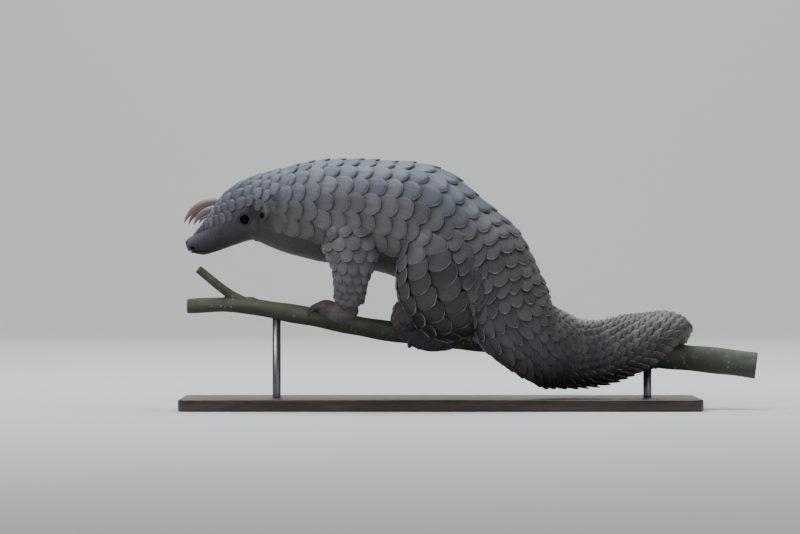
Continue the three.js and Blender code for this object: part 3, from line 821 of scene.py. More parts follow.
def scale_ring(plates, s, gap, count, offset, limit, looks, shear, overlap):
    """One ring of scales: count of them round the tube, without those beyond limit degrees from the back.

    gap is the distance to the next ring, offset turns the ring by shares of a scale, shear moves each scale
    along by millimetres for each radian that it lies off the back, and overlap is a scale's length in gaps
    and its width in even shares of the ring. Scales vary, and are smaller and flatter where the coat ends.
    """
    step = 2 * math.pi / count
    for k in range(count):
        angle = wrap(step * (k + offset))
        away = abs(math.degrees(angle))
        if away > limit:
            continue
        place = s + shear * abs(angle)
        stretch, girth = plates.tube.metric(place, angle)
        fade = np.clip((limit - away) / COVER_FADE, 0, 1)
        size = (0.88 + 0.12 * fade) * rng.uniform(0.96, 1.05)
        row = dict(PLATE_DEFAULTS, tone=rng.random())
        row.update(looks(place, angle))
        row["lift"] *= (0.8 + 0.2 * fade) * rng.uniform(0.9, 1.12)
        row["turn"] += rng.normal(0, 3)
        row["s"] = place + rng.uniform(-0.05, 0.05) * gap
        row["angle"] = angle + rng.uniform(-0.03, 0.03) * step
        row["length"] = overlap[0] * gap * stretch * size
        row["width"] = overlap[1] * step * girth * size * row["wide"]
        plates.rows.append(row)


def keep_rows(plates, keep):
    plates.rows = [row for row, kept in zip(plates.rows, keep) if kept]


def middles(plates):
    """Middle of each scale on its tube's surface."""
    return plates.tube.surface(plates.column("s").ravel(), plates.column("angle").ravel(), 0.5)


def drop_buried(plates, others, depth=0.0):
    """Takes out scales whose middle lies more than depth inside another tube."""
    keep = np.ones(len(plates.rows), bool)
    for other in others:
        keep &= other.outside(middles(plates))[0] > -depth
    keep_rows(plates, keep)


# A scale next to a bare place has none in front that covers its root: how near, and how deep that root is
# sunk, both as shares of the scale's length
BARE_REACH = 0.42
BARE_SINK = 0.1


def drop_near(plates, rounds):
    """Takes out scales whose middle lies in a round, given for the right side as x, y, z, radius."""
    points = middles(plates)
    points[:, 1] = np.abs(points[:, 1])
    gaps = np.min([np.linalg.norm(points - centre, axis=1) - radius for *centre, radius in rounds], axis=0)
    for row, gap in zip(plates.rows, gaps):
        if gap < BARE_REACH * row["length"]:
            row["root"] = -BARE_SINK * row["length"]
    keep_rows(plates, gaps > 0)


# Rings of body scales: station along the body, millimetres to the next ring, scales round the body
BODY_RINGS = [
    (7, 15.5, 16),
    (8, 16.5, 16),
    (9, 17.5, 18),
    (10, 18.4, 18),
    (12, 19.4, 18),
    (14, 18.0, 18),
    (15, 14.0, 20),
    (16, 11.8, 22),
    (17, 10.6, 22),
    (19, 9.6, 22),
    (21, 8.0, 22),
    (23, 7.0, 22),
    (26, 6.6, 18),
    (28, 7.4, 12),
    (30, 5.6, 10),
    (31, 4.0, 8),
]
BODY_SHEAR = -8.0

# Length of a scale in gaps between rings, and its width in even shares of the ring
OVERLAP = {"body": (1.75, 1.16), "tail": (1.7, 1.12), "crown": (1.75, 1.12), "leg": (1.8, 1.14)}

# Room from the crown's end to its last ring and to the body's first, and from the last ring to the tail's tip
CROWN_ROOM = 3
BODY_ROOM = 4
TIP_ROOM = 2

# Places that stay free of scales on the head: about the ear, about the eye and between them
BARE_ROUNDS = [(-205, 32, 238, 14), (-212, 30, 228, 12), (-233.6, 20.6, 227.2, 11), (-224, 27, 233, 8)]


def body_looks(s, angle):
    """Size and form of a scale of the body or tail by its place."""
    station = body.station(s)
    tail = np.clip((station - 15) / 2, 0, 1)
    neck = np.clip((9.5 - station) / 2.5, 0, 1)
    end = np.clip((station - 25) / 6, 0, 1)
    margin = tail * np.exp(-(((abs(math.degrees(angle)) - 84) / 10) ** 2))
    side_share = 1.0 if angle < 0 else 0.3
    return {
        "lift": 3.9 - 1.1 * neck - 1.0 * tail - 1.0 * end + 1.6 * margin * (1 - end),
        "root": 0.3 - 1.6 * np.clip(8.5 - station, 0, 1),
        "thick": 1.5 - 0.4 * neck - 0.4 * tail - 0.2 * end,
        "wide": 1 + 0.55 * margin * (1 - end),
        "shoulder": 0.6 - 0.1 * tail,
        "point": 0.2 + 0.4 * tail * (1 - 0.4 * margin),
        "keel": 0.5 * tail * (1 - 0.5 * end) * (1 - margin),
        "ridges": 0.1 - 0.04 * tail,
        "roll": -0.5 * np.sign(angle) * (1 - 0.7 * tail),
        "turn": np.sign(angle) * (8 * (1 - tail) + 24 * margin),
        "pale": margin * side_share * np.clip(station - 16.2, 0, 1) * np.clip(23 - station, 0, 1),
    }


def body_plates():
    """Large scales of the body and tail, in rings that lean forward down the sides."""
    plates = Plates(body, (13, 8))
    stations, gaps, counts = (np.array(column, float) for column in zip(*BODY_RINGS))
    starts = body.reach(stations)
    s = body.reach(CROWN_END) + BODY_ROOM
    while s < body.length - TIP_ROOM:
        gap = np.interp(s, starts, gaps)
        count = int(counts[np.searchsorted(starts, s, "right") - 1])
        overlap = OVERLAP["body" if s < TAIL_START else "tail"]
        scale_ring(plates, s, gap, count, 0, float(cover_limit(s)), body_looks, BODY_SHEAR, overlap)
        s += gap
    return plates


CROWN_LOOKS = {
    "lift": 1.9, "root": 0.1, "thick": 1.1, "shoulder": 0.58, "point": 0.0, "ridges": 0.03, "dome": 0.5}

# Width of the crown's scales by station, and the distance between its rings in widths
CROWN_SIZES = {2.3: 8.2, 4: 10.2, 5.5: 11.4, 6.6: 12.4, 7.7: 15.2}
CROWN_GAP = 0.78


def crown_plates():
    """Small round scales of the crown, as many to a ring as fit its girth."""
    plates = Plates(body, (11, 7))
    stations = [body.reach(k) for k in CROWN_SIZES]
    s = body.reach(CROWN_START)
    ring = 0
    while s < body.reach(CROWN_END) - CROWN_ROOM:
        size = np.interp(s, stations, list(CROWN_SIZES.values()))
        girth = 2 * math.pi * body.read(body.sizes, s)[[0, 2]].mean()
        count = max(6, int(round(girth / size)))
        limit = float(cover_limit(s))
        gap = size * CROWN_GAP
        offset = (ring % 2) / 2
        scale_ring(plates, s, gap, count, offset, limit, lambda *place: CROWN_LOOKS, 0, OVERLAP["crown"])
        s += gap
        ring += 1
    return plates


# Scales of the legs: how many to a ring, millimetres from ring to ring at both ends, degrees from the outer
# side that they reach to, where along the leg they start and end, the turn from ring to ring in shares of a
# scale, points across and along a scale, how deep one may lie in the body, and its looks
LEG_COATS = {
    "foreleg": {
        "count": 11, "gaps": (13.5, 8.4), "limit": 150, "ends": (0.05, 0.95), "phase": 0.5,
        "detail": (11, 7), "depth": 0, "roll": 0,
        "looks": {
            "lift": 2.9, "root": 0.1, "thick": 1.2, "shoulder": 0.64, "point": 0.1, "ridges": 0.04,
            "dome": 1.5, "pale": 0.05},
    },
    "thigh": {
        "count": 11, "gaps": (18, 15), "limit": 125, "ends": (0.1, 0.97), "phase": 0,
        "detail": (13, 8), "depth": 2, "roll": 0.7,
        "looks": {"lift": 3.8, "root": 0.3, "thick": 1.4, "shoulder": 0.56, "point": 0.3, "ridges": 0.1},
    },
    "shank": {
        "count": 9, "gaps": (10, 9), "limit": 140, "ends": (0.1, 0.95), "phase": 0.5,
        "detail": (11, 7), "depth": 0, "roll": 0,
        "looks": {
            "lift": 2.0, "root": 0.1, "thick": 0.9, "shoulder": 0.5, "point": 0.2, "ridges": 0.04,
            "dome": 0.5},
    },
}


def leg_turn(part, side, along, angle):
    """Degrees that a scale's tip turns about the leg: those of the thigh sweep back, most at its root."""
    if part == "thigh":
        return side * (10 + (64 - 40 * along) * (0.75 + 0.5 * side * math.sin(angle)))
    return side * 30 if part == "foreleg" else 0


def leg_plates(part, side, tube):
    """Scales of a leg, in rings from its root to its end."""
    coat = LEG_COATS[part]
    plates = Plates(tube, coat["detail"])

    def looks(s, angle):
        turn = leg_turn(part, side, s / tube.length, angle)
        return {**coat["looks"], "roll": side * coat["roll"], "turn": turn}

    first, last = coat["ends"]
    ring = 0
    s = first * tube.length
    while s < last * tube.length:
        gap = np.interp(s / tube.length, (0, 1), coat["gaps"])
        offset = ring * coat["phase"] % 1
        scale_ring(plates, s, gap, coat["count"], offset, coat["limit"], looks, 0, OVERLAP["leg"])
        s += gap
        ring += 1
    return plates


# Bristles: the share of scales that have one, its length, radius at the root, rings and sides, and the
# stations and degrees from the back where they grow
BRISTLES = {
    "share": 0.6, "length": (9, 15), "radius": 0.22, "rings": 6, "sides": 4,
    "stations": (7.8, 14.5), "spread": 64,
}


def make_bristles(plates):
    """Thin curved bristles from under the tips of the back's scales, each closed at both ends."""
    first, last = BRISTLES["stations"]
    spread = math.radians(BRISTLES["spread"])
    rows = []
    for row in plates.rows:
        if first < body.station(row["s"]) < last and abs(row["angle"]) < spread:
            if rng.random() < BRISTLES["share"]:
                rows.append(row)
    s, angle, reach = (np.array([row[key] for row in rows]) for key in ("s", "angle", "length"))
    count, rings, sides = len(rows), BRISTLES["rings"], BRISTLES["sides"]
    angle = angle + rng.uniform(-0.08, 0.08, count)
    s = s + 0.3 * reach
    root = body.surface(s, angle, 1.0)
    along = unit(body.surface(s + 1, angle, 1.0) - root)
    outward = unit(body.surface(s, angle, 2.0) - root)
    across = np.cross(along, outward)

    # Each aims back and a little outward, and bends as it goes
    pick = lambda low, high: rng.uniform(low, high, count)[:, None]
    aim = unit(along + pick(0.3, 0.8) * outward + pick(-0.35, 0.35) * across)
    length = pick(*BRISTLES["length"])
    bend = pick(-0.3, 0.1) * outward + pick(-0.2, 0.2) * across
    part = np.linspace(0, 1, rings)[None, :, None]
    line = root[:, None] + length[:, None] * (aim[:, None] * part + bend[:, None] * part**2)
    turn = 2 * math.pi * np.arange(sides) / sides
    ring = across[:, None] * np.cos(turn)[:, None] + outward[:, None] * np.sin(turn)[:, None]
    radius = BRISTLES["radius"] * (1 - 0.75 * part)
    points = line[:, :, None] + radius[..., None] * ring[:, None]
    quads = repeat_faces(np.array(tube_faces(rings, sides)), count, rings * sides)
    thing = quad_object("bristles", points.reshape(-1, 3), quads)
    local = np.stack(np.meshgrid(np.linspace(0, 1, rings), np.linspace(0, 1, sides), indexing="ij"), -1)
    set_patches(thing.data, "body", body, s, angle, np.tile(local.reshape(-1, 2), (count, 1)))
    register(thing, "scales")
    return thing


# Pieces of the body's coat, each from its station to the next one's, and how deep a scale may lie in a leg
COAT_PIECES = {"scales_neck": 0, "scales_back": 10, "scales_rump": 13, "scales_tail": 16.5, "scales_hook": 22}
LEG_OVERLAP = 7


def split(plates, cuts):
    """Plates divided into groups by their distance along the tube."""
    groups = []
    for low, high in zip(cuts, cuts[1:]):
        group = Plates(plates.tube, plates.detail)
        group.rows = [row for row in plates.rows if low <= row["s"] < high]
        groups.append(group)
    return groups


def make_coat():
    """Scales of the body, crown and legs, and the bristles of the back."""
    legs = [*forelegs.values(), *thighs.values()]
    torso = body_plates()
    drop_buried(torso, legs, LEG_OVERLAP)
    drop_buried(torso, [branch])
    drop_near(torso, BARE_ROUNDS)
    cuts = [*[body.reach(k) for k in COAT_PIECES.values()], body.length]
    made = [
        make_plates(name, group, "body", legs)
        for name, group in zip(COAT_PIECES, split(torso, cuts))]
    crown = crown_plates()
    drop_near(crown, BARE_ROUNDS)
    made.append(make_plates("scales_crown", crown, "crown"))
    for name, side in SIDES.items():
        thigh = thighs[name]
        parts = {
            "foreleg": (forelegs[name], [body, branch], [body]),
            "thigh": (thigh, [body, branch], [body]),
            "shank": (shanks[name], [body, branch, thigh], [thigh]),
        }
        for part, (tube, hidden_by, over) in parts.items():
            plates = leg_plates(part, side, tube)
            drop_buried(plates, hidden_by, LEG_COATS[part]["depth"])
            key = f"{part}_{name}"
            made.append(make_plates(f"scales_{key}", plates, key, over, part))
    return made, make_bristles(torso)


coat, bristles = make_coat()


# Eyes and claws

def make_eyes():
    made = []
    for name, side in SIDES.items():
        ball = ball_shell(mirror_side(EYE["at"], side), (EYE["radius"],) * 3, 0, 32, 48)
        eye = mesh_object(f"eyeball_{name}", *ball)
        register(eye, "eye", f"eye_{name}")
        made.append(eye)
    return made


def make_claws():
    made = []
    for foot in FEET:
        shells = []
        for at, aim, bend, length, radius in claws_of(foot):
            rows = claw_path(at, aim, bend, length, radius, 9)
            shells.append(tube_shell(round_tube(rows, tuple(np.cross(aim, bend))), 0.7, 20))
        claws = mesh_object(f"claws_{foot}", *joined_shells(shells))
        register(claws, "claws")
        made.append(claws)
    return made


eyes = make_eyes()
claws = make_claws()


# Branch and stand

BRANCH_VOXEL = 1.3


def make_branch():
    """Branch and side shoot as one surface, a little uneven, thicker where the shoot grows out."""
    def uneven(s, angle):
        return 0.35 * np.sin(s * 0.11 + 2 * np.sin(angle)) + 0.25 * np.sin(3 * angle + s * 0.05)

    shells = [
        tube_shell(branch, 2.0, 64, uneven),
        tube_shell(shoot, 1.5, 32),
        ball_shell((-230, 0, 125), (13, 8.6, 9.4), -20),
    ]
    thing = mesh_object("branch", *joined_shells(shells))
    fuse(thing, BRANCH_VOXEL, 2)
    register(thing, "bark", "perch_branch")
    return thing


def make_base():
    """Flat board with rounded corners and a soft edge."""
    length, width, height, corner, edge = BASE.values()
    outline = []
    for k, (x, y) in enumerate([(1, 1), (-1, 1), (-1, -1), (1, -1)]):
        centre = np.array([x * (length / 2 - corner), y * (width / 2 - corner)])
        for turn in np.linspace(0, 90, 9):
            a = math.radians(turn + 90 * k)
            outline.append(centre + corner * np.array([math.cos(a), math.sin(a)]))
    points = [(x, y, z) for z in (0, height) for x, y in outline]
    thing = mesh_object("base_board", points, tube_faces(2, len(outline)))
    bevel = thing.modifiers.new("soft_edge", "BEVEL")
    bevel.width = edge * MM
    bevel.segments = 4
    bevel.limit_method = "ANGLE"
    bevel.angle_limit = math.radians(50)
    keep_modifier(thing)
    register(thing, "stand", "stand_base")
    return thing


def make_rods():
    """Rods from the base up into the branch, closed by flat ends."""
    made = []
    sides = 48
    low, r = BASE["height"], ROD["radius"]
    for name, x in zip(("front", "rear"), ROD["x"]):
        y, z, radius = (float(v) for v in branch_at(x))
        top = z - radius * 0.5
        profile = [(r * 0.6, low), (r, low), (r, low + 1), (r, top), (r * 0.6, top)]
        turns = [2 * math.pi * k / sides for k in range(sides)]
        points = [(x + q * math.cos(a), y + q * math.sin(a), h) for q, h in profile for a in turns]
        rod = mesh_object(f"rod_{name}", points, tube_faces(len(profile), sides))
        register(rod, "rod", f"stand_rod_{name}")
        made.append(rod)
    return made


branch_piece = make_branch()
base_piece = make_base()
rods = make_rods()


# Materials

def srgb(r, g, b):
    """Linear colour of an sRGB one in 0 to 255."""
    linear = lambda v: v / 12.92 if v <= 0.04045 else ((v + 0.055) / 1.055) ** 2.4
    return (*[linear(v / 255) for v in (r, g, b)], 1)


class Graph:
    """Short ways to make a material's nodes. A colour is a node's output, or sRGB values in 0 to 255."""

    def __init__(self, name):
        self.material = bpy.data.materials.new(name)
        self.material.use_nodes = True
        self.tree = self.material.node_tree
        self.tree.nodes.clear()
        self.shader = self.node("BsdfPrincipled")
        self.node("OutputMaterial", {"Surface": self.shader.outputs[0]})
        self.place = self.node("TexCoord").outputs["Object"]
        self.colour = None

    def feed(self, target, value):
        """Links an input to a node's output, or sets it to a plain value."""
        if isinstance(value, bpy.types.NodeSocket):
            self.tree.links.new(value, target)
        else:
            target.default_value = value

    def node(self, kind, inputs=None, **settings):
        made = self.tree.nodes.new("ShaderNode" + kind)
        for key, value in settings.items():
            setattr(made, key, value)
        for key, value in (inputs or {}).items():
            self.feed(made.inputs[key], value)
        return made

    def math(self, operation, *values):
        return self.node("Math", dict(enumerate(values)), operation=operation).outputs[0]

    def add(self, a, b):
        return self.math("ADD", a, b)

    def times(self, a, b):
        return self.math("MULTIPLY", a, b)

    def vector(self, operation, a, b, output="Vector"):
        return self.node("VectorMath", {0: a, 1: b}, operation=operation).outputs[output]

    def number(self, name):
        """Number that the mesh keeps for each point."""
        return self.node("Attribute", attribute_name=name).outputs["Fac"]

    def axis(self, name, at=None):
        return self.node("SeparateXYZ", {0: at or self.place}).outputs[name]

    def scaled(self, scale, at=None):
        """Place with its axes scaled."""
        return self.node("Mapping", {"Vector": at or self.place, "Scale": scale}).outputs[0]

    def ramp(self, value, low, high, to_low=0.0, to_high=1.0):
        inputs = {0: value, 1: low, 2: high, 3: to_low, 4: to_high}
        return self.node("MapRange", inputs, interpolation_type="SMOOTHSTEP").outputs[0]

    def noise(self, scale, detail=4.0, rough=0.55, at=None):
        inputs = {"Vector": at or self.place, "Scale": scale, "Detail": detail, "Roughness": rough}
        return self.node("TexNoise", inputs).outputs["Fac"]

    def cells(self, scale, feature="F1"):
        inputs = {"Vector": self.place, "Scale": scale}
        return self.node("TexVoronoi", inputs, feature=feature).outputs["Distance"]

    def near(self, centre, radius, soft):
        """1 near a place in millimetres, fading to 0 beyond the radius."""
        distance = self.vector("DISTANCE", self.place, tuple(v * MM for v in centre), "Value")
        return self.ramp(distance, (radius + soft) * MM, (radius - soft) * MM)

    def mix(self, share, a, b):
        a, b = (srgb(*c) if isinstance(c, tuple) else c for c in (a, b))
        return self.node("Mix", {0: share, 6: a, 7: b}, data_type="RGBA").outputs[2]

    def paint(self, share, colour):
        """Lays a share of a colour over what is painted so far."""
        self.colour = self.mix(share, self.colour, colour)

    def bump(self, height, strength, distance):
        made = self.node("Bump", {"Height": height, "Strength": strength, "Distance": distance * MM})
        self.set(Normal=made.outputs[0])

    def set(self, **values):
        for key, value in values.items():
            self.feed(self.shader.inputs[key.replace("_", " ")], value)


# Dark and pale tone of each place that scales and skin share
TONES = {
    "slate": ((112, 117, 132), (140, 143, 156)),
    "tail_top": ((98, 94, 92), (130, 124, 118)),
    "grey": ((98, 97, 103), (122, 118, 122)),
    # dark: tone of the undersides, partly the hide's colour, partly painted shade
    "dark": ((52, 47, 47), (74, 67, 65)),
    "snout": ((96, 90, 106), (124, 116, 130)),
    # root: tone of the rump and tail root, partly the hide's colour, partly painted shade
    "root": ((62, 60, 67), (88, 84, 90)),
    "hook": ((104, 98, 94), (136, 129, 122)),
    "mud": ((74, 67, 61), (98, 90, 82)),
}

# Brown of dried mud on the sides of the neck, behind and below the ears
MUD = {"at": (-186, 40, 216), "radius": 32, "soft": 16, "share": 0.75}


def place_colour(g, tone):
    """Paints what scales and skin share: slate above, greyer at the sides, dark below and behind. This is
    partly the hide's colour and partly painted sky light on top, with painted shade below and behind.
    """
    station = g.number("station")
    low = g.add(g.number("low"), g.times(g.math("SUBTRACT", g.noise(16, 3), 0.5), 0.5))
    tones = {name: g.mix(tone, *pair) for name, pair in TONES.items()}
    # Slate on top: partly the hide's colour, partly painted sky light that makes it lighter and bluer
    g.colour = tones["slate"]
    g.paint(g.ramp(station, 12.0, 15.0), tones["tail_top"])
    # Greyer at the sides and dark underneath: partly the hide's colour, partly painted shade
    g.paint(g.ramp(low, -0.75, 0.05), tones["grey"])
    g.paint(g.ramp(low, 0.15, 0.9), tones["dark"])
    g.paint(g.ramp(station, 7.0, 5.5, 0.0, 0.3), (76, 77, 88))
    g.paint(g.ramp(station, 4.5, 2.0), tones["snout"])
    # Painted shade: the snout and jaw darkened underneath
    g.paint(g.times(g.ramp(station, 5.0, 3.0), g.ramp(low, -0.2, 0.6)), (26, 24, 30))
    # Rump and tail root darker, going dark lower down: partly the hide's colour, partly painted shade
    root = g.mix(g.ramp(low, 0.6, 1.8), tones["root"], tones["dark"])
    g.paint(g.ramp(station, 10.5, 13.0, 0.0, 0.35), root)
    g.paint(g.times(g.ramp(station, 12.8, 15.2), g.ramp(low, -1.1, 0.5)), root)
    # Tail hook: tan above, dark below, and the dark is partly painted shade
    hook = g.mix(g.ramp(low, -0.3, 0.6), tones["hook"], tones["dark"])
    g.paint(g.ramp(station, 19.0, 21.5), hook)
    # Painted shade: near black on the deepest undersides
    g.paint(g.ramp(low, 1.15, 1.8), (36, 33, 35))
    for side in SIDES.values():
        near = g.near(mirror_side(MUD["at"], side), MUD["radius"], MUD["soft"])
        g.paint(g.times(near, MUD["share"]), tones["mud"])


def scale_material():
    g = Graph("scales")
    uv = g.node("UVMap", uv_map="Plate").outputs[0]
    along = g.axis("Y", uv)
    tone = g.number("tone")
    place_colour(g, tone)
    g.paint(g.times(g.number("pale"), 0.8), g.mix(tone, (150, 140, 132), (190, 180, 168)))

    # Grain along each scale, darker towards its root as painted shade under the scale that overlaps it, and
    # pale in places at its free edge, partly worn horn, partly painted edge highlight
    offset = g.node("CombineXYZ", {0: g.times(tone, 30), 1: g.times(tone, 17)}).outputs[0]
    grain = g.noise(1.0, 5, 0.6, g.vector("ADD", g.scaled((16, 1.6, 1), uv), offset))
    g.paint(g.ramp(grain, 0.35, 0.7, 0.0, 0.45), g.mix(0.5, g.colour, (52, 48, 50)))
    # Painted shade towards the root, where the scale before lies over it
    g.paint(g.ramp(along, 0.7, 0.25, 0.0, 0.6), (34, 31, 32))
    # Pale free edge: partly worn horn, partly a painted highlight where the edge catches the light
    broken = g.noise(1.0, 3, 0.6, g.vector("ADD", g.vector("MULTIPLY", uv, (4, 4, 4)), offset))
    edge = g.ramp(along, g.add(0.9, g.times(broken, 0.09)), 1.0)
    g.paint(g.times(edge, g.ramp(broken, 0.4, 0.62, 0.15, 0.75)), (176, 172, 168))
    g.paint(g.ramp(g.noise(160, 4, 0.7), 0.6, 0.75, 0.0, 0.4), (50, 44, 38))
    g.set(Base_Color=g.colour, Roughness=g.ramp(grain, 0.2, 0.8, 0.42, 0.62))
    g.bump(g.add(grain, g.times(g.noise(900, 2, 0.5), 0.25)), 0.55, 0.5)
    return g.material


def bristle_material():
    g = Graph("bristles")
    g.set(Base_Color=g.mix(g.noise(60, 3), (150, 142, 128), (214, 206, 190)), Roughness=0.45)
    return g.material


# Darkened places on the right side, as middle, radius, soft edge: nostril, lids, between eye and ear. The
# nostril's is painted shade in its pit, the lids' is partly dark lid margins and partly painted shade, and
# the last is dark skin
DARK_ROUNDS = [((-297, 6.8, 193), 3, 2), ((-233.6, 22, 227.2), 8.4, 2), ((-222, 29, 237), 10, 6)]


def skin_material():
    g = Graph("skin")
    patches = g.noise(40, 4)
    place_colour(g, patches)

    # Face, throat, nose pad, dark places, rims of the ears, front paws and hind feet
    station, low = g.number("station"), g.number("low")
    # Face darker lower down its sides: partly dark skin, partly painted shade
    g.paint(g.times(g.ramp(station, 7.5, 6.5), g.ramp(low, -0.5, 0.2, 0.0, 0.6)), (44, 40, 43))
    # Throat darker and olive underneath: partly mud, partly painted shade and painted green light from leaves
    g.paint(g.times(g.ramp(station, 5.2, 6.4), g.ramp(low, 0.1, 0.7, 0.0, 0.6)), (62, 62, 52))
    g.paint(g.near((-305, 0, 196), 7, 5), (92, 86, 96))
    for side in SIDES.values():
        for at, radius, soft in DARK_ROUNDS:
            # Painted shade in the nostril and about the eye, with dark skin between eye and ear
            g.paint(g.times(g.near(mirror_side(at, side), radius, soft), 0.9), (32, 27, 34))
        g.paint(g.near(mirror_side((-208, 33, 239), side), 5, 4), (128, 118, 124))
    front_paws = g.math("MAXIMUM", g.near((-122, -17, 116), 34, 8), g.near((-256, 48, 242), 30, 8))
    g.paint(front_paws, g.mix(patches, (96, 84, 90), (134, 120, 124)))
    hind = g.mix(patches, (56, 50, 58), (84, 76, 84))
    for side in SIDES.values():
        g.paint(g.near((-22 + HIND_SHIFT[side], side * 26, 92), 46, 8), hind)

    # Creases between the grains of the front paws, and folds all over, darkened in their hollows as painted
    # shade
    creases = g.times(front_paws, g.ramp(g.cells(340, "DISTANCE_TO_EDGE"), 0.1, 0.0))
    # Painted shade in the creases of the front paws
    g.paint(g.times(creases, 0.14), (52, 44, 48))
    folds = g.noise(150, 5, 0.65)
    # Painted shade in the hollows of the folds
    g.paint(g.ramp(folds, 0.35, 0.6, 0.45, 0.0), g.mix(0.6, g.colour, (32, 28, 30)))
    g.set(Base_Color=g.colour, Roughness=0.62, Subsurface_Weight=0.04, Subsurface_Scale=0.004)
    relief = g.add(g.times(folds, 1.6), g.times(g.cells(620), 0.9))
    g.bump(g.math("SUBTRACT", relief, g.times(creases, 0.5)), 0.8, 0.9)
    return g.material


def claw_material():
    """Pinkish horn in front, darker on the hind feet."""
    g = Graph("claws")
    streaks = g.noise(260, 3)
    g.colour = g.mix(streaks, (132, 110, 106), (162, 142, 136))
    g.paint(g.ramp(g.axis("X"), -0.2, -0.16), g.mix(streaks, (62, 50, 50), (96, 80, 78)))
    g.set(Base_Color=g.colour, Roughness=0.38)
    g.bump(g.noise(500, 2), 0.3, 0.2)
    return g.material


def eye_material():
    g = Graph("eye")
    g.set(Base_Color=srgb(8, 6, 10), Roughness=0.05, Specular_IOR_Level=0.1)
    return g.material


def bark_material():
    """Streaked bark, lighter where it faces up and darker below as painted light and shade, with lichen, and
    growth rings on both cut ends.
    """
    g = Graph("bark")
    streaks = g.noise(120, 5, 0.6, g.scaled((0.22, 1, 1)))
    patches = g.noise(26, 4, 0.6)
    above = g.axis("Z", g.node("NewGeometry").outputs["Normal"])
    g.colour = g.mix(streaks, (54, 60, 49), (74, 80, 66))
    # Painted light and shade: lighter where the bark faces up, darker where it faces down
    g.paint(g.ramp(above, -0.5, 0.5), g.mix(streaks, (92, 100, 84), (126, 134, 114)))
    g.paint(g.ramp(patches, 0.45, 0.65, 0, 0.5), (66, 64, 52))
    lichen = g.times(g.ramp(g.cells(150), 0.28, 0.2), g.ramp(g.noise(30, 2), 0.5, 0.6))
    g.paint(g.times(lichen, 0.5), (146, 152, 138))
    ends = g.math("MAXIMUM", g.ramp(g.axis("X"), -0.3025, -0.3035), g.ramp(g.axis("X"), 0.3805, 0.3815))
    inputs = {"Vector": g.vector("MULTIPLY", g.place, (0, 1, 1)), "Scale": 120.0, "Distortion": 3.0}
    rings = g.node("TexWave", inputs, wave_type="RINGS", rings_direction="X").outputs["Fac"]
    g.paint(ends, g.mix(rings, (176, 156, 118), (206, 190, 152)))
    g.set(Base_Color=g.colour, Roughness=0.78)
    g.bump(g.add(streaks, g.times(patches, 0.6)), 0.4, 0.8)
    return g.material


def wood_material():
    g = Graph("stand_wood")
    along = g.scaled((0.12, 1, 1))
    grain = g.noise(90, 6, 0.6, along)
    fine = g.noise(700, 3, 0.6, along)
    g.colour = g.mix(g.ramp(grain, 0.35, 0.65), (52, 42, 36), (84, 68, 56))
    g.paint(g.ramp(fine, 0.5, 0.7, 0, 0.4), (36, 29, 25))
    g.set(Base_Color=g.colour, Roughness=g.ramp(grain, 0.3, 0.7, 0.34, 0.46))
    g.set(Coat_Weight=0.25, Coat_Roughness=0.3)
    g.bump(fine, 0.2, 0.2)
    return g.material


def steel_material():
    g = Graph("rod_steel")
    lines = g.noise(2500, 2, 0.5, g.scaled((1, 1, 0.03)))
    g.set(Base_Color=g.mix(lines, (150, 152, 154), (190, 192, 194)), Metallic=1.0)
    g.set(Roughness=g.ramp(lines, 0.3, 0.7, 0.26, 0.4))
    g.bump(lines, 0.1, 0.1)
    return g.material


def dress(pieces, material):
    for piece in pieces:
        piece.data.materials.clear()
        piece.data.materials.append(material)


dress([skin], skin_material())
dress(coat, scale_material())
dress([bristles], bristle_material())
dress(claws, claw_material())
dress(eyes, eye_material())
dress([branch_piece], bark_material())
dress([base_piece], wood_material())
dress(rods, steel_material())


# Studio

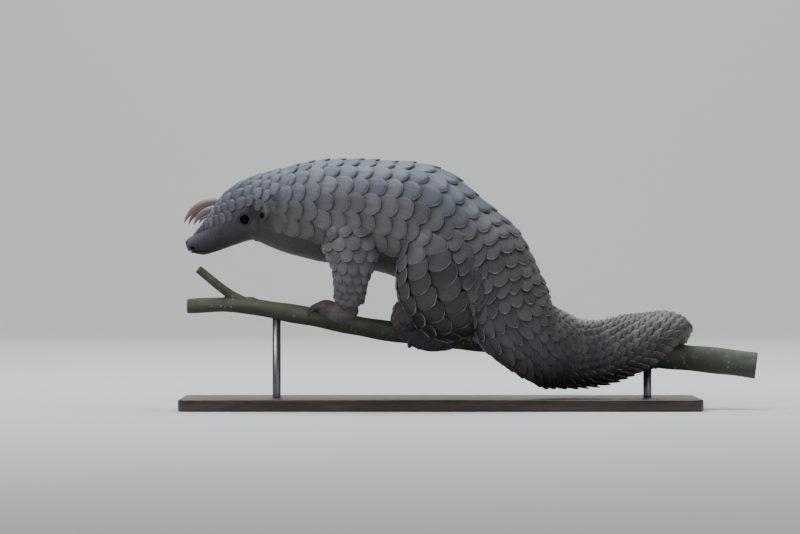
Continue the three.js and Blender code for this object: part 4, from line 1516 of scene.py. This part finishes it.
def make_floor():
    """Pale floor that rises into a backdrop far behind."""
    width, front, back, radius, top = 16000, -9000, 5400, 1800, 4600
    profile = [(front, 0), (back, 0)]
    for turn in np.linspace(0, 90, 16)[1:]:
        a = math.radians(turn)
        profile.append((back + radius * math.sin(a), radius * (1 - math.cos(a))))
    profile.append((back + radius, top))
    points = [(x, y, z) for y, z in profile for x in (-width / 2, width / 2)]
    floor = mesh_object("studio_floor", points, grid_faces(len(profile), 2, False))
    g = Graph("studio")
    g.set(Base_Color=srgb(236, 236, 233), Roughness=0.9)
    dress([floor], g.material)


def add_light(name, place, aim, size, power, colour=(1, 1, 1)):
    data = bpy.data.lights.new(name, "AREA")
    data.shape = "RECTANGLE"
    data.size, data.size_y = size
    data.energy = power
    data.color = colour
    light = bpy.data.objects.new(name, data)
    light.location = place
    light.rotation_euler = (Vector(aim) - Vector(place)).to_track_quat("-Z", "Y").to_euler()
    bpy.context.scene.collection.objects.link(light)


def make_studio():
    make_floor()
    middle = (0.0, 0.0, 0.18)
    add_light("sky_light", (0.0, 0.7, 2.4), middle, (3.0, 2.0), 78, (0.84, 0.92, 1.0))
    add_light("key_light", (-1.4, -0.9, 1.9), middle, (1.2, 1.0), 15, (0.98, 0.98, 1.0))
    add_light("eye_light", (-0.9, -1.2, 1.9), (-0.23, 0.0, 0.22), (0.08, 0.08), 4.0)
    add_light("fill_light", (1.6, -2.4, 0.9), middle, (1.8, 1.2), 3, (1.0, 0.98, 0.96))
    add_light("backdrop_light", (0.0, 2.2, 3.6), (0.0, 7.0, 0.9), (5.0, 1.2), 190, (0.97, 0.98, 1.0))
    world = bpy.data.worlds.new("studio_world")
    world.use_nodes = True
    world.node_tree.nodes["Background"].inputs[0].default_value = (0.82, 0.86, 0.9, 1)
    world.node_tree.nodes["Background"].inputs[1].default_value = 0.16
    bpy.context.scene.world = world


# Camera: the photograph's view, with 1.2 mm to a pixel at the animal's middle

FRAME_WIDTH = 960
CAMERA_AT = (-48, -5000, 170.4)


def make_camera():
    data = bpy.data.cameras.new("camera")
    data.sensor_width = 36
    data.lens = data.sensor_width * -CAMERA_AT[1] / FRAME_WIDTH
    data.clip_end = 50
    camera = bpy.data.objects.new("camera", data)
    camera.location = [v * MM for v in CAMERA_AT]
    camera.rotation_euler = (math.radians(90), 0, 0)
    bpy.context.scene.collection.objects.link(camera)
    bpy.context.scene.camera = camera


make_studio()
make_camera()
